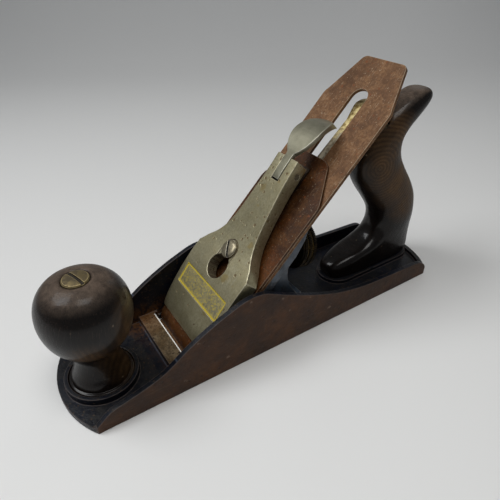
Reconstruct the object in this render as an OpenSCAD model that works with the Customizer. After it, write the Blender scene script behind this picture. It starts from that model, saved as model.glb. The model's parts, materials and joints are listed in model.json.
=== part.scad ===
// Smoothing plane with an iron casting, a sloping frog, a double iron and hardwood handles.
// Toe at minus x, heel at plus x, sole on z = 0, left side of the tool at minus y.
// Everything that lies on the sloping bed is drawn flat in a bed frame: x runs up the bed
// from the cutting edge, y is across, z is square to the bed. on_bed() lays it in place.

/* [Casting] */
// overall length of the sole
body_len = 246; // [225:1:280]
// overall width of the sole
body_w = 62; // [59:0.5:72]
// how far toe and heel bow out past their corners
end_bow = 10; // [6:0.5:14]
// thickness of the sole
sole_t = 3.4; // [2.8:0.1:4]
// thickness of the side walls
wall_t = 3; // [2:0.1:3.2]
// height of the side walls at their peak
cheek_h = 43.4; // [36:0.2:50]
// share of the length that lies in front of the cutting edge
edge_share = 0.267; // [0.262:0.001:0.3]
// opening in front of the cutting edge
mouth_gap = 1.8; // [1.4:0.1:3]

/* [Irons] */
// width of the cutting iron
iron_w = 50.8; // [46:0.1:52]
// length of the cutting iron
iron_len = 194; // [165:1:200]
// thickness of the cutting iron
iron_t = 2.2; // [1.8:0.1:2.6]
// thickness of the cap iron
cap_iron_t = 1.8; // [1.4:0.1:2.2]
// distance from the cutting edge to the top of the cap iron
cap_iron_end = 132; // [126:1:136]
// grinding angle of the cutting bevel
bevel_a = 27; // [24:1:32]
// width of the long slot in the cutting iron
slot_w = 11.2; // [10.6:0.1:12.4]

/* [Lever cap] */
// length of the lever cap up the bed
lcap_len = 110.5; // [108:0.5:113]
// wall thickness of the lever cap
lcap_t = 3.1; // [2.2:0.1:3.6]
// half width of the lever cap at its top end
lcap_neck = 8.4; // [7.4:0.1:10]
// width of the cam lever where it lies in the lever cap
stem_w = 5.4; // [4.4:0.1:7]
// half width of the thumb pad
pad_r = 9.2; // [7:0.1:11]

/* [Adjusters] */
// radius of the depth wheel
wheel_r = 15; // [12:0.1:16]
// width of the knurled rim of the depth wheel
wheel_w = 9.5; // [7:0.1:11]
// reach of the side lever above its pivot
side_len = 66; // [50:1:74]

/* [Handles] */
// largest radius of the front knob
knob_r = 22.6; // [18:0.1:25]
// height of the front knob above the sole, without its nut
knob_h = 68.4; // [60:0.2:76]
// distance from the toe to the middle of the knob
knob_from_toe = 22.8; // [22:0.1:27]
// thickness of the rear handle
tote_w = 24; // [20:0.2:28]
// height of the rear handle above the sole
tote_h = 119; // [108:0.5:124]

/* [Hidden] */
$fn = 64;
eps = 0.02;          // seat gap between a piece and the face it rests on
run = 0.05;          // radial clearance of a turning or sliding round piece
q = 0.70710678;      // sine and cosine of the bed angle
lo = body_len / 2;
hw = body_w / 2;
inner = hw - wall_t;
end_r = (hw * hw + end_bow * end_bow) / (2 * end_bow);
corner = lo - end_bow;
xe = -lo + edge_share * body_len;    // the cutting edge
edge_z = 0.2;
bx = xe + iron_t * q;               // origin of the bed frame
bz = edge_z - iron_t * q;
seat_low = 5.5;
seat_high = 15.5;
foot_top = seat_high + 5;
foot_rear = xe + 70.5;
adj_z = 9.6;                        // axis of the frog adjusting screw
face_t = 5;                         // frog bed plate
ci_top = iron_t + cap_iron_t;       // upper face of the cap iron
screw_s = 64.2;                     // stations up the bed from the edge
cis_s = 50;
yoke_s = 90;
disc_s = 100;
lat_s = 109.5;
frog_top = 114;
seat_n = 13.4;                      // where the head of the lever cap screw bears
head_r = 5.2;                       // radius of that head
cap_s0 = 11.6;
cap_s1 = cap_s0 + lcap_len;
cam_s = cap_s1 - 6.4;
cam_n = 12.6;
slot_r = 8.6;                       // end of the slot in which the cam lever turns
lobe_r = 7.3;
yoke_n = -12;                       // yoke pin, below the bed
yoke_arm = 11;
tilt = 10;                          // the depth stud falls to the rear by this angle
tip_n = iron_t + cap_iron_t / 2;
px0 = bx + (yoke_s - yoke_n) * q;   // yoke pin and groove centre in the shared frame
pz0 = bz + (yoke_s + yoke_n) * q;
gx = px0 - yoke_arm * sin(tilt);
gz = pz0 - yoke_arm * cos(tilt);
kx = -lo + knob_from_toe;
wheel_t0 = 6;
tx = lo;                            // handle stations are measured from the heel
tote_ref = 119;                     // height at which the handle stations were drawn
room = (lo - xe) / 180.3;           // room behind the cutting edge, against the standard
taller = tote_h - tote_ref + (1 - room) * 60;   // a taller handle, or a tight one, leans further back
rod_x = lo - 19 * room;
rod_a = atan(0.2235 - 0.0068 * taller);
pad_floor = 6;

function seg(a, b, c, d, t) =
  0.5 * (2 * b + (c - a) * t + (2 * a - 5 * b + 4 * c - d) * t * t + (3 * b - a - 3 * c + d) * t * t * t);
function smooth(p, n) = concat(
  [for (i = [0:len(p) - 2], k = [0:n - 1])
    seg(p[max(i - 1, 0)], p[i], p[i + 1], p[min(i + 2, len(p) - 1)], k / n)],
  [p[len(p) - 1]]);
function rev(p) = [for (i = [len(p) - 1:-1:0]) p[i]];
function unit(v) = v / norm(v);
function leaf(p, i, t) =
  let (d = unit(p[min(i + 1, len(p) - 1)] - p[max(i - 1, 0)])) p[i] + t * [-d[1], d[0]];
function band(p, t) = concat([for (i = [0:len(p) - 1]) leaf(p, i, t / 2)],
  rev([for (i = [0:len(p) - 1]) leaf(p, i, -t / 2)]));
function both(p) = concat(p, rev([for (v = p) [v[0], -v[1]]]));

// a flat shape drawn in x and z, run across the tool
module across(w, pts) rotate([90, 0, 0]) linear_extrude(w, center = true) polygon(pts);
// a flat shape drawn in x and y, standing from z0 to z1
module upright(z0, z1, pts) translate([0, 0, z0]) linear_extrude(z1 - z0) polygon(pts);
module on_bed() translate([bx, 0, bz]) rotate([0, -45, 0]) children();
module disc_at(s, y, n0, n1, r) translate([s, y, n0]) cylinder(h = n1 - n0, r = r);
module slab(x0, x1, w, z0, z1) translate([x0, -w / 2, z0]) cube([x1 - x0, w, z1 - z0]);
// along the depth stud: local z runs from the groove towards the heel
module on_stud() translate([gx, 0, gz]) rotate([0, 90 + tilt, 0]) children();
module along_x(x0, x1, z, r) translate([x0, 0, z]) rotate([0, 90, 0]) cylinder(h = x1 - x0, r = r);
module on_rod() translate([rod_x, 0, sole_t]) rotate([0, -rod_a, 0]) children();

module bowed_end() {
  translate([-lo + end_r, 0]) circle(r = end_r, $fn = 128);
  translate([-lo + end_r, -body_w]) square([body_len, 2 * body_w]);
}
module sole_2d() intersection() {
  square([body_len, body_w], center = true);
  bowed_end();
  mirror([1, 0]) bowed_end();
}

// upper edge of a side wall, given as distance behind the cutting edge and height
wall_pts = [[-48, 10.4], [-39.5, 12.7], [-30.5, 15], [-21.4, 18], [-14.7, 21.7], [-7.9, 26.4],
  [-1.6, 30.2], [4, 33.2], [11.7, 36.9], [19.6, 40.1], [26.4, 42.5], [31.7, 43.4], [37, 43.1],
  [42.2, 41.6], [54, 35.3], [71, 27.2], [89.5, 20], [104.4, 16.3], [119.9, 14.2], [141.6, 13],
  [158, 12.3]];
wall_top = smooth(concat([[-corner, 4.2]],
  [for (p = wall_pts) [xe + p[0], p[1] < 12 ? p[1] : 12 + (p[1] - 12) * (cheek_h - 12) / 31.4]],
  [[corner - 6, 11.4], [corner - 1.5, 8.4], [corner + 1, 4]]), 3);

module plane_body() color([0.09, 0.1, 0.13]) difference() {
  union() {
    linear_extrude(sole_t) sole_2d();
    intersection() {
      linear_extrude(cheek_h + 5) sole_2d();
      for (s = [-1, 1]) translate([0, s * (hw - wall_t / 2), 0])
        across(wall_t, concat([[corner + 1, 0.5], [-corner, 0.5]], wall_top));
    }
    // raised bar in front of the mouth
    slab(xe - mouth_gap - 9.6, xe - mouth_gap + 2, 2 * inner + 1, sole_t - 0.5, 6.8);
    // low shelf behind the mouth and high seat for the frog
    slab(xe + 6, xe + 20, 48, sole_t - 0.5, seat_low);
    difference() {
      slab(xe + 28.6, xe + 65.3, 46, sole_t - 0.5, seat_high);
      slab(xe + 32, xe + 50, 13, sole_t, seat_high + 1);
    }
    // ribs that tie the seat to the walls
    for (x = [xe + 28.6, xe + 60]) slab(x, x + 3.4, 2 * inner + 1, sole_t - 0.5, 9.5);
    // ring round the foot of the knob
    difference() {
      disc_at(kx, 0, sole_t - 0.5, 7.4, 19.3);
      disc_at(kx, 0, 4.6, 8, 17.1);
    }
    // raised foot for the rear handle
    intersection() {
      union() {
        slab(tx - 62 * room, tx - 14, tote_w + 1, sole_t - 0.5, pad_floor);
        disc_at(tx - 62 * room, 0, sole_t - 0.5, pad_floor, tote_w / 2 + 0.5);
        disc_at(tx - 14, 0, sole_t - 0.5, pad_floor, tote_w / 2 + 0.5);
      }
      linear_extrude(20) sole_2d();
    }
    // low rim round the heel
    difference() {
      linear_extrude(pad_floor - 0.3) sole_2d();
      translate([-3, 0, -1]) linear_extrude(9) sole_2d();
      translate([-300, -100, -1]) cube([300 + corner - 4, 200, 20]);
    }
  }
  // mouth, sloped behind to follow the bed
  across(iron_w + 3, [[xe - mouth_gap, -1], [xe - mouth_gap, 9], [xe + 14.7, 9], [xe + 5.7, 0],
    [xe + 4.7, -1]]);
  for (y = [-12, 12]) disc_at(xe + 45, y, 5, seat_high + 1, 2.88);
  along_x(xe + 45, xe + 66, adj_z, 2.55);
  disc_at(kx, 0, 1.4, 9, 2.62);
  on_rod() translate([0, 0, -2]) cylinder(h = 8, r = 3.02);
}

frog_plan = both([[8, 25.4], [frog_top - 32, 25.4], [frog_top - 22, 23.6], [frog_top - 13, 19.6],
  [frog_top - 6, 15.6], [frog_top - 1.6, 12.6], [frog_top, 9]]);

module frog() color([0.22, 0.25, 0.3]) difference() {
  union() {
    intersection() {
      on_bed() upright(-face_t, 0, frog_plan);
      slab(xe, xe + frog_top, body_w, seat_low + eps, frog_top);
    }
    // side webs, front foot and rear foot, all trimmed just under the bed face
    intersection() {
      union() {
        for (s = [-1, 1]) translate([0, s * 20.5, 0]) across(4.5, concat(
          [[xe + 2, seat_low + eps], [xe + 18.1, seat_low + eps], [xe + 18.1, seat_high + eps],
            [foot_rear, seat_high + eps], [foot_rear, foot_top]],
          smooth([[xe + 66, 26], [xe + 61.5, 34], [xe + 60, 43], [xe + 63, 53], [xe + 68, 61]], 3),
          [[xe + 60, 70], [xe + 2, 12]]));
        slab(xe + 2, xe + 18.1, 45.5, seat_low + eps, 20);
        slab(xe + 18, foot_rear, 45.5, seat_high + eps, foot_top);
      }
      on_bed() slab(-20, 160, 80, -90, -1);
    }
    // low wall across the rear of the foot
    slab(foot_rear - 4, foot_rear, 45.5, foot_top - 1, foot_top + 3.5);
    on_bed() {
      disc_at(screw_s, 0, -12, -face_t + 1, 6.5);
      for (s = [-1, 1]) translate([0, s * 9.2, 0]) {
        slab(yoke_s - 3.6, yoke_s + 3.6, 3, yoke_n, -face_t + 1);
        translate([yoke_s, 1.5, yoke_n]) rotate([90, 0, 0]) cylinder(h = 3, r = 3.6);
      }
    }
    on_stud() translate([0, 0, -15]) cylinder(h = 9.6, r = 6.5);
    across(5, [[xe + 43, 34], [xe + 56.8, 47.8], [xe + 66, 43], [xe + 66, 37.5]]);
  }
  on_bed() {
    translate([0, 0, -20]) linear_extrude(30) {
      translate([cis_s - 1.2, 0]) circle(r = 9);
      translate([cis_s + 2, 0]) circle(r = 9);
      translate([cis_s - 1.2, -9]) square([3.2, 18]);
    }
    slab(yoke_s - 4.2, yoke_s + 4.2, 9.4, -face_t - 4, 1);
    disc_at(screw_s, 0, -13, 1, 3.22);
    disc_at(lat_s, 0, -face_t - 1, 0, 2.19);
    upright(-2.15, 1, both([[disc_s - 6.4, 6], [disc_s - 4, 8.4], [frog_top - 8, 10],
      [frog_top + 2, 11]]));
    translate([yoke_s, 0, yoke_n]) rotate([90, 0, 0]) cylinder(h = 30, r = 1.52, center = true);
  }
  on_stud() translate([0, 0, -13.4]) cylinder(h = 12, r = 3 + run);
  for (y = [-12, 12]) translate([xe + 45, y, 0]) translate([0, 0, seat_high - 1]) linear_extrude(8) {
    for (x = [-3.4, 3.4]) translate([x, 0]) circle(r = 3.3);
    square([6.8, 6.6], center = true);
  }
  slab(xe + 27, xe + 36, 16, seat_high - 1, foot_top + 1);
  along_x(foot_rear - 8, foot_rear + 1, 18.2, 1.64);
}

module frog_screws() color([0.35, 0.3, 0.25]) for (y = [-12, 12]) translate([xe + 45, y, 0])
  difference() {
    union() {
      disc_at(0, 0, 6, foot_top + 1.3, 2.85);
      disc_at(0, 0, foot_top + 1.24, foot_top + 4.4, 5);
      translate([0, 0, foot_top + 4.4]) cylinder(h = 0.8, r1 = 5, r2 = 4.1);
    }
    rotate([0, 0, y * 4]) slab(-6, 6, 1.3, foot_top + 3.4, foot_top + 6);
  }

module frog_screw_washers() color([0.35, 0.3, 0.25]) for (y = [-12, 12]) difference() {
  disc_at(xe + 45, y, foot_top + eps, foot_top + 1.22, 5.9);
  disc_at(xe + 45, y, foot_top - 1, foot_top + 2, 3);
}

module frog_adjusting_screw() color([0.35, 0.3, 0.25]) difference() {
  union() {
    along_x(xe + 51.5, xe + 69, adj_z, 2.5);
    along_x(foot_rear - 1.6, foot_rear - 0.3, adj_z, 4.6);
    along_x(foot_rear - 0.5, foot_rear + 1.6, adj_z, 2.9);
    along_x(foot_rear + 1.5, foot_rear + 6.6, adj_z, 5.2);
    translate([foot_rear + 6.6, 0, adj_z]) rotate([0, 90, 0]) cylinder(h = 0.8, r1 = 5.2, r2 = 4.4);
  }
  translate([foot_rear + 6.1, -6, adj_z - 0.6]) cube([3, 12, 1.2]);
}

module frog_clip() color([0.3, 0.27, 0.24]) difference() {
  union() {
    slab(foot_rear + run, foot_rear + 1.25, 13, 5.4, 18.2);
    along_x(foot_rear + run, foot_rear + 1.25, 18.2, 6.5);
  }
  along_x(foot_rear - 1, foot_rear + 3, adj_z, 3);
  slab(foot_rear - 1, foot_rear + 3, 6, 4, adj_z);
  along_x(foot_rear - 1, foot_rear + 3, 18.2, 1.7);
  slab(foot_rear - 1, foot_rear + 3, 20, foot_top + 1, 30);
}

module frog_clip_screw() color([0.35, 0.3, 0.25]) difference() {
  union() {
    along_x(foot_rear - 7, foot_rear + 1.3, 18.2, 1.62);
    along_x(foot_rear + 1.27, foot_rear + 2.9, 18.2, 2.9);
  }
  translate([foot_rear + 2.2, -4, 18.2 - 0.4]) cube([2, 8, 0.8]);
}

module depth_stud() color([0.4, 0.36, 0.3]) on_stud() translate([0, 0, -11])
  cylinder(h = 11 + wheel_t0 + wheel_w + 1.4, r = 3);

module depth_wheel() color([0.3, 0.25, 0.15]) on_stud() rotate_extrude($fn = 96) polygon(concat(
  [[3 + run, -3.2], [7.3, -3.2], [7.3, -1.75], [5, -1.75], [5, 1.75], [7.3, 1.75],
    [7.3, wheel_t0], [wheel_r - 0.8, wheel_t0], [wheel_r, wheel_t0 + 0.8]],
  [for (k = [1, 2]) each [[wheel_r, wheel_t0 + k * wheel_w / 3 - 0.5],
    [wheel_r - 0.9, wheel_t0 + k * wheel_w / 3], [wheel_r, wheel_t0 + k * wheel_w / 3 + 0.5]]],
  [[wheel_r, wheel_t0 + wheel_w - 0.8], [wheel_r - 0.8, wheel_t0 + wheel_w],
    [wheel_r - 2.6, wheel_t0 + wheel_w], [wheel_r - 3.4, wheel_t0 + wheel_w - 1.4],
    [6.6, wheel_t0 + wheel_w - 1.4], [6, wheel_t0 + wheel_w], [3 + run, wheel_t0 + wheel_w]]));

module depth_yoke() color([0.3, 0.28, 0.26]) difference() {
  union() {
    on_bed() {
      translate([yoke_s, 0, yoke_n]) rotate([90, 0, 0]) cylinder(h = 14.6, r = 3, center = true);
      slab(yoke_s - 1.75, yoke_s + 1.75, 7.2, yoke_n, tip_n);
      translate([yoke_s, 0, tip_n]) rotate([90, 0, 0]) cylinder(h = 7.2, r = 2, center = true);
    }
    on_stud() for (s = [-1, 1]) translate([0, s * 6.25, 0]) rotate([90, 0, 0]) {
      linear_extrude(2.2, center = true) polygon([[-yoke_arm, -2.4], [-7.4, -1.4], [-5.2, -1.05],
        [0, -1.05], [0, 1.05], [-5.2, 1.05], [-7.4, 1.4], [-yoke_arm, 2.4]]);
      cylinder(h = 2.2, r = 1.6, center = true);
    }
  }
  on_bed() translate([yoke_s, 0, yoke_n]) rotate([90, 0, 0])
    cylinder(h = 20, r = 1.5 + run, center = true);
}

module yoke_pin() color([0.4, 0.36, 0.3]) on_bed() translate([yoke_s, 0, yoke_n])
  rotate([90, 0, 0]) cylinder(h = 21.4, r = 1.5, center = true);

side_end = lat_s + side_len;
side_k = max(0.3, min(1, 1 - (1 - room) * 7));      // how far it bends back towards the handle
side_line = concat([[disc_s - 5.5, -1.3], [lat_s + 6, -1.3]],
  smooth([[lat_s + 8.5, -1.5], [lat_s + 14, -3], [lat_s + 24, -3.2 - 0.6 * side_k],
    [side_end - 12, -3.4 - 2 * side_k], [side_end - 6, -3.6 - 2.6 * side_k],
    [side_end - 2.5, -4 - 3.8 * side_k], [side_end, -5 - 5.2 * side_k]], 3));

module lateral_lever() color([0.6, 0.48, 0.18]) on_bed() difference() {
  intersection() {
    across(30, band(side_line, 1.6));
    union() {
      upright(-40, 5, both([[disc_s, 5.5], [lat_s + 3, 5.8], [lat_s + 10, 4.6], [lat_s + 16, 4.1],
        [side_end - 16, 4], [side_end - 9, 6], [side_end - 5, 7], [side_end - 0.5, 6.6],
        [side_end + 3, 5]]));
      disc_at(disc_s, 0, -5, 5, 5.5);
    }
  }
  disc_at(lat_s, 0, -5, 1, 2.22);
}

module lateral_disc() color([0.55, 0.45, 0.2]) on_bed() {
  disc_at(disc_s, 0, -0.48, iron_t - 0.15, slot_w / 2 - 0.1);
}

module lateral_pivot() color([0.45, 0.38, 0.25]) on_bed() {
  disc_at(lat_s, 0, -face_t - 0.9, -0.2, 2.17);
  disc_at(lat_s, 0, -0.46, -0.08, 3.8);
  disc_at(lat_s, 0, -face_t - 1, -face_t - eps, 3.3);
}

module lever_cap_screw() color([0.5, 0.46, 0.38]) on_bed() difference() {
  union() {
    disc_at(screw_s, 0, -11, seat_n + 0.7, 3.2);
    translate([screw_s, 0, seat_n]) rotate_extrude() polygon([[0, eps], [head_r, eps],
      [head_r, 1.2], [head_r - 0.5, 1.7], [head_r - 1.7, 2.1], [0, 2.3]]);
  }
  translate([screw_s, 0, 0]) rotate([0, 0, 38]) slab(-8, 8, 1.3, seat_n + 1, seat_n + 5);
}

// side view of the lever cap: upper line, and the same line lowered by d
function cap_line(d) = smooth([[cap_s0, 7.7 - d], [cap_s0 + 3, 9 - d], [20, 10.6 - d],
  [28, 12.2 - d], [38, 13.5 - d], [48, 14.2 - d], [56, 14.1 - d], [64, 13.7 - d], [74, 13.8 - d],
  [86, 14.9 - d], [100, 16.5 - d], [cap_s1, 18.7 - d]], 3);
// half outline of the lever cap drawn in by e
function cap_half(e) = concat([[cap_s0 + e, iron_w / 2 - 0.4 - e], [cap_s0 + 0.8 + e, iron_w / 2 - e],
  [57 - 0.4 * e, iron_w / 2 - e]],
  smooth([[59.5 - e * 0.8, 23.6 - e], [63, 21.4 - e], [66.5, 18.4 - e], [71, 15.6 - e],
    [77, 13.2 - e], [86, 11.4 - e], [98, 9.9 - e], [110, (9.9 + lcap_neck) / 2 - e - 0.4],
    [cap_s1 - e, lcap_neck - e]], 3));

module lever_cap() color([0.62, 0.61, 0.55]) on_bed() difference() {
  union() {
    difference() {
      intersection() {
        upright(0, 30, both(cap_half(0)));
        across(60, concat(cap_line(0), [[cap_s1, 9.8], [100, 8.4], [70, 5.6], [40, 5.2], [26, 5.4],
          [16, 6.2], [14.5, 6.45], [cap_s0, 6.45]]));
      }
      intersection() {
        upright(0, 30, both(concat([[17, iron_w / 2 - lcap_t]],
          [for (p = cap_half(lcap_t)) if (p[0] > 18 && p[0] < 101) p])));
        across(60, concat(cap_line(lcap_t), [[cap_s1, 0], [cap_s0, 0]]));
      }
    }
    // solid round the keyhole, cross rib and the boss for the spring
    intersection() {
      union() {
        disc_at(screw_s, 0, 6.5, 30, 8.6);
        disc_at(screw_s - 11.2, 0, 6.5, 30, 10.4);
        slab(30, 32.5, 46, 7.4, 30);
        disc_at(93, 0, 8.6, 30, 4.4);
      }
      across(60, concat(cap_line(0.5), [[cap_s1, 0], [cap_s0, 0]]));
    }
  }
  // keyhole and the flat on which the screw head bears
  disc_at(screw_s - 11.2, 0, 0, 30, lobe_r);
  disc_at(screw_s, 0, 0, 30, 3.6);
  slab(screw_s - 11.2, screw_s, 7.2, 0, 30);
  disc_at(screw_s, 0, seat_n, 30, head_r + 0.6);
  slab(screw_s - 11.2, screw_s, 2 * head_r + 1.2, seat_n, 30);
  // plain sunk panel near the lower edge
  intersection() {
    upright(0, 30, [[30, -20.4], [31.2, -21.6], [41.2, -21.6], [42.4, -20.4], [42.4, 20.4],
      [41.2, 21.6], [31.2, 21.6], [30, 20.4]]);
    across(60, concat(cap_line(-3), rev(cap_line(0.5))));
  }
  // slot for the cam lever and the bore of its pin
  slab(cam_s, cap_s1 + 1, stem_w + 0.3, -1, 30);
  translate([cam_s, 0, cam_n]) rotate([90, 0, 0]) {
    cylinder(h = stem_w + 0.3, r = slot_r, center = true);
    cylinder(h = 40, r = 1.52, center = true);
  }
  disc_at(93, 0, 6, 12.4, 1.32);
}

pad_top = smooth([[cam_s - 6.5, 17.6], [cam_s - 4.2, 18.1], [cam_s + 1, 18.6], [cap_s1, 18.8],
  [cap_s1 + 6, 19.3], [cap_s1 + 13, 19.1], [cap_s1 + 19, 17.6], [cap_s1 + 24, 14.6], [cap_s1 + 27.4, 10.8],
  [cap_s1 + 28.8, 8]], 3);
pad_plan = both(concat([[cam_s - 12, stem_w / 2], [cap_s1 + 2.1, stem_w / 2]],
  smooth([[cap_s1 + 3.1, stem_w / 2 + 0.9], [cap_s1 + 5.4, pad_r * 0.62], [cap_s1 + 9.5, pad_r * 0.87],
    [cap_s1 + 14, pad_r], [cap_s1 + 19, pad_r * 0.97], [cap_s1 + 23.6, pad_r * 0.82],
    [cap_s1 + 27, pad_r * 0.52], [cap_s1 + 28.6, 0.9]], 3)));

module cap_cam_lever() color([0.7, 0.7, 0.66]) on_bed() difference() {
  intersection() {
    union() {
      // cam, set off centre so that it presses the spring when the lever lies flat
      translate([cam_s, 0, cam_n - 1]) rotate([90, 0, 0]) cylinder(h = 40, r = 6.55, center = true);
      across(40, concat(pad_top, rev([for (p = pad_top) if (p[0] > cap_s1 - 2)
        [p[0] - (p[0] - cap_s1) * 0.055, p[1] - 2.6]]), [[cam_s + 4, 14], [cam_s, 10],
        [cam_s - 5, 14], [cam_s - 6.3, 16.4]]));
    }
    upright(0, 30, pad_plan);
  }
  translate([cam_s, 0, cam_n]) rotate([90, 0, 0]) cylinder(h = 40, r = 1.5 + run, center = true);
}

module cam_pin() color([0.5, 0.47, 0.4]) on_bed() translate([cam_s, 0, cam_n]) rotate([90, 0, 0])
  cylinder(h = 2 * lcap_neck + 0.2, r = 1.5, center = true);

module cap_spring() color([0.3, 0.28, 0.25]) on_bed() difference() {
  across(10, band(smooth([[88, 8.18], [94, 8.18], [99, 7.7], [104, 5.9], [108, ci_top + 0.7],
    [cam_s, ci_top + 0.5], [cap_s1 + 2, ci_top + 0.8]], 3), 0.7));
  disc_at(93, 0, 0, 20, 1.34);
}

module cap_spring_rivet() color([0.4, 0.37, 0.3]) on_bed() {
  disc_at(93, 0, 7.4, 12.2, 1.3);
  disc_at(93, 0, 6.9, 7.5, 2.4);
}

bevel_l = iron_t / tan(bevel_a);
module cutter() color([0.42, 0.28, 0.2]) on_bed() difference() {
  intersection() {
    upright(0.03, iron_t, both(concat([[0, iron_w / 2], [iron_len - 27.5, iron_w / 2]],
      smooth([[iron_len - 25.5, iron_w / 2 - 0.5], [iron_len - 24, iron_w / 2 - 1.3]], 2),
      smooth([[iron_len - 1.8, 15.6], [iron_len - 0.5, 14.2], [iron_len, 12.6]], 2))));
    across(iron_w + 2, [[0, iron_t], [0, iron_t + 1], [iron_len + 1, iron_t + 1], [iron_len + 1, -1],
      [bevel_l, 0.03]]);
  }
  disc_at(29.5, 0, -1, 5, 9.3);
  slab(29.5, iron_len - 18.5 - slot_w / 2, slot_w, -1, 5);
  disc_at(iron_len - 18.5 - slot_w / 2, 0, -1, 5, slot_w / 2);
}

hump_up = smooth([[1.8, iron_t + 0.1], [4, iron_t + 1.9], [7, iron_t + 3.4], [10.6, iron_t + 4.15],
  [14, iron_t + 3.95], [18, iron_t + 3.1], [23, iron_t + 2.1], [28, ci_top]], 3);
hump_in = smooth([[26.5, iron_t + eps], [22, iron_t + 0.5], [17, iron_t + 1.4], [13, iron_t + 2.2],
  [9.5, iron_t + 2.3], [6.5, iron_t + 1.4], [4.4, iron_t + 0.35], [2.6, iron_t + eps]], 3);
module cap_iron() color([0.3, 0.13, 0.08]) on_bed() difference() {
  intersection() {
    across(iron_w, concat(hump_up, [[cap_iron_end, ci_top], [cap_iron_end, iron_t + eps]], hump_in,
      [[1.8, iron_t + eps]]));
    upright(0, 10, both(concat([[0, iron_w / 2], [cap_iron_end - 24, iron_w / 2]],
      smooth([[cap_iron_end - 21.5, iron_w / 2 - 0.7], [cap_iron_end - 19, iron_w / 2 - 2]], 2),
      smooth([[cap_iron_end - 3.4, 14.4], [cap_iron_end - 1.4, 12.4], [cap_iron_end - 0.2, 9.6]], 2),
      [[cap_iron_end, 7]])));
  }
  disc_at(cis_s, 0, 0, 10, 3.32);
  for (s = [screw_s - 2.2, screw_s + 2.2]) disc_at(s, 0, 0, 10, 4.6);
  slab(screw_s - 2.2, screw_s + 2.2, 9.2, 0, 10);
  slab(yoke_s - 2.13, yoke_s + 2.13, 9.8, 0, 10);
}

module cap_iron_screw() color([0.3, 0.26, 0.22]) on_bed() difference() {
  union() {
    disc_at(cis_s, 0, -1, ci_top - 0.05, 3.3);
    disc_at(cis_s, 0, -2.7, -0.03, 8);
    translate([cis_s, 0, -3.3]) cylinder(h = 0.6, r1 = 7.2, r2 = 8);
  }
  slab(cis_s - 9, cis_s + 9, 1.5, -5, -2.1);
}

kr = knob_r / 22.6;
knob_side = smooth([[16.2, 4.62], [16.7, 6], [16.5, 8.2], [14.9, 11.2], [12.7, 15.2], [11.4, 20],
  [11.6, 24.6], [13.6, 28.8], [17.4 * kr, 33.2], [20.5 * kr, 38.4], [22.2 * kr, 44.2],
  [22.6 * kr, 50], [21.7 * kr, 56], [19.1 * kr, 61.4], [15 * kr, 65.6], [10.4, 67.9],
  [8.4, 68.4]], 3);
module knob() color([0.13, 0.06, 0.04]) translate([kx, 0, 0]) difference() {
  rotate_extrude($fn = 96) polygon(concat([[0, 4.62]],
    [for (p = knob_side) [p[0], p[1] < 16 ? p[1] : 16 + (p[1] - 16) * (knob_h - 16) / 52.4]],
    [[0, knob_h]]));
  cylinder(h = 90, r = 3.2);
  translate([0, 0, knob_h - 14]) cylinder(h = 30, r = 4.7);
  translate([0, 0, knob_h - 1.6]) cylinder(h = 10, r = 6.7);
}
module knob_stud() color([0.4, 0.36, 0.3]) disc_at(kx, 0, 1.6, knob_h - 3, 2.6);
module knob_nut() color([0.5, 0.42, 0.22]) translate([kx, 0, 0]) difference() {
  union() {
    translate([0, 0, knob_h - 13]) cylinder(h = 13, r = 4.5);
    translate([0, 0, knob_h - 1.58]) rotate_extrude() polygon([[0, 0], [6.3, 0], [6.4, 1.5],
      [5.9, 2.1], [3.6, 2.6], [0, 2.75]]);
  }
  translate([0, 0, knob_h - 14]) cylinder(h = 11.4, r = 2.62);
  rotate([0, 0, -72]) slab(-9, 9, 1.5, knob_h - 0.1, knob_h + 4);
}

// rear handle: each station gives the front and the rear of the outline seen from the side,
// then the share of the full thickness there and how square the section is
tote_st = [
  [-71.5, 6, -3, 6, 0.9, 3.4], [-72.6, 9, -1.3, 10, 0.96, 3.4], [-71.4, 14, -0.7, 16, 0.96, 3],
  [-63, 18.2, -0.5, 22.5, 0.95, 2.8], [-49.4, 21.6, -0.5, 29, 0.95, 2.6],
  [-39.6, 27, -0.8, 36, 0.97, 2.5], [-35.8, 35, -2, 44, 0.99, 2.4], [-37.2, 44, -4.8, 53, 1, 2.4],
  [-43.8, 54, -10.4, 62.6, 1, 2.4], [-50.8, 63.2, -16.8, 71.4, 0.99, 2.4],
  [-55.8, 72, -22, 80, 0.97, 2.4], [-56.8, 81, -24, 87.6, 0.95, 2.4],
  [-54.2, 90, -22.8, 94.4, 0.92, 2.4], [-49, 98.2, -18, 100.2, 0.9, 2.4],
  [-41.6, 105.4, -11.2, 105.6, 0.88, 2.4], [-33.2, 111, -5.8, 110.4, 0.84, 2.3],
  [-25.4, 115, -3.6, 114.2, 0.76, 2.2], [-18.8, 117.6, -5.6, 117.4, 0.6, 2.1],
  [-13.6, 118.6, -9.8, 118.7, 0.3, 2]];
tote_nn = 28;
tote_rings = smooth(tote_st, 3);
function tz(z) = pad_floor + eps + (z - 6) * (tote_h - pad_floor) / (tote_ref - pad_floor);
function tp(x, z) = [tx + x * room + taller * 0.8 * z / tote_ref, tz(z)];
function tote_ring(v) = let (f = tp(v[0], v[1]), r = tp(v[2], v[3]), m = (f + r) / 2,
    h = (f - r) / 2, e = 2 / v[5])
  [for (k = [0:tote_nn - 1]) let (a = 360 * k / tote_nn, c = cos(a), s = sin(a),
    u = sign(c) * pow(abs(c), e), w = sign(s) * pow(abs(s), e))
    [m[0] + h[0] * u, tote_w / 2 * v[4] * w, m[1] + h[1] * u]];
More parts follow.
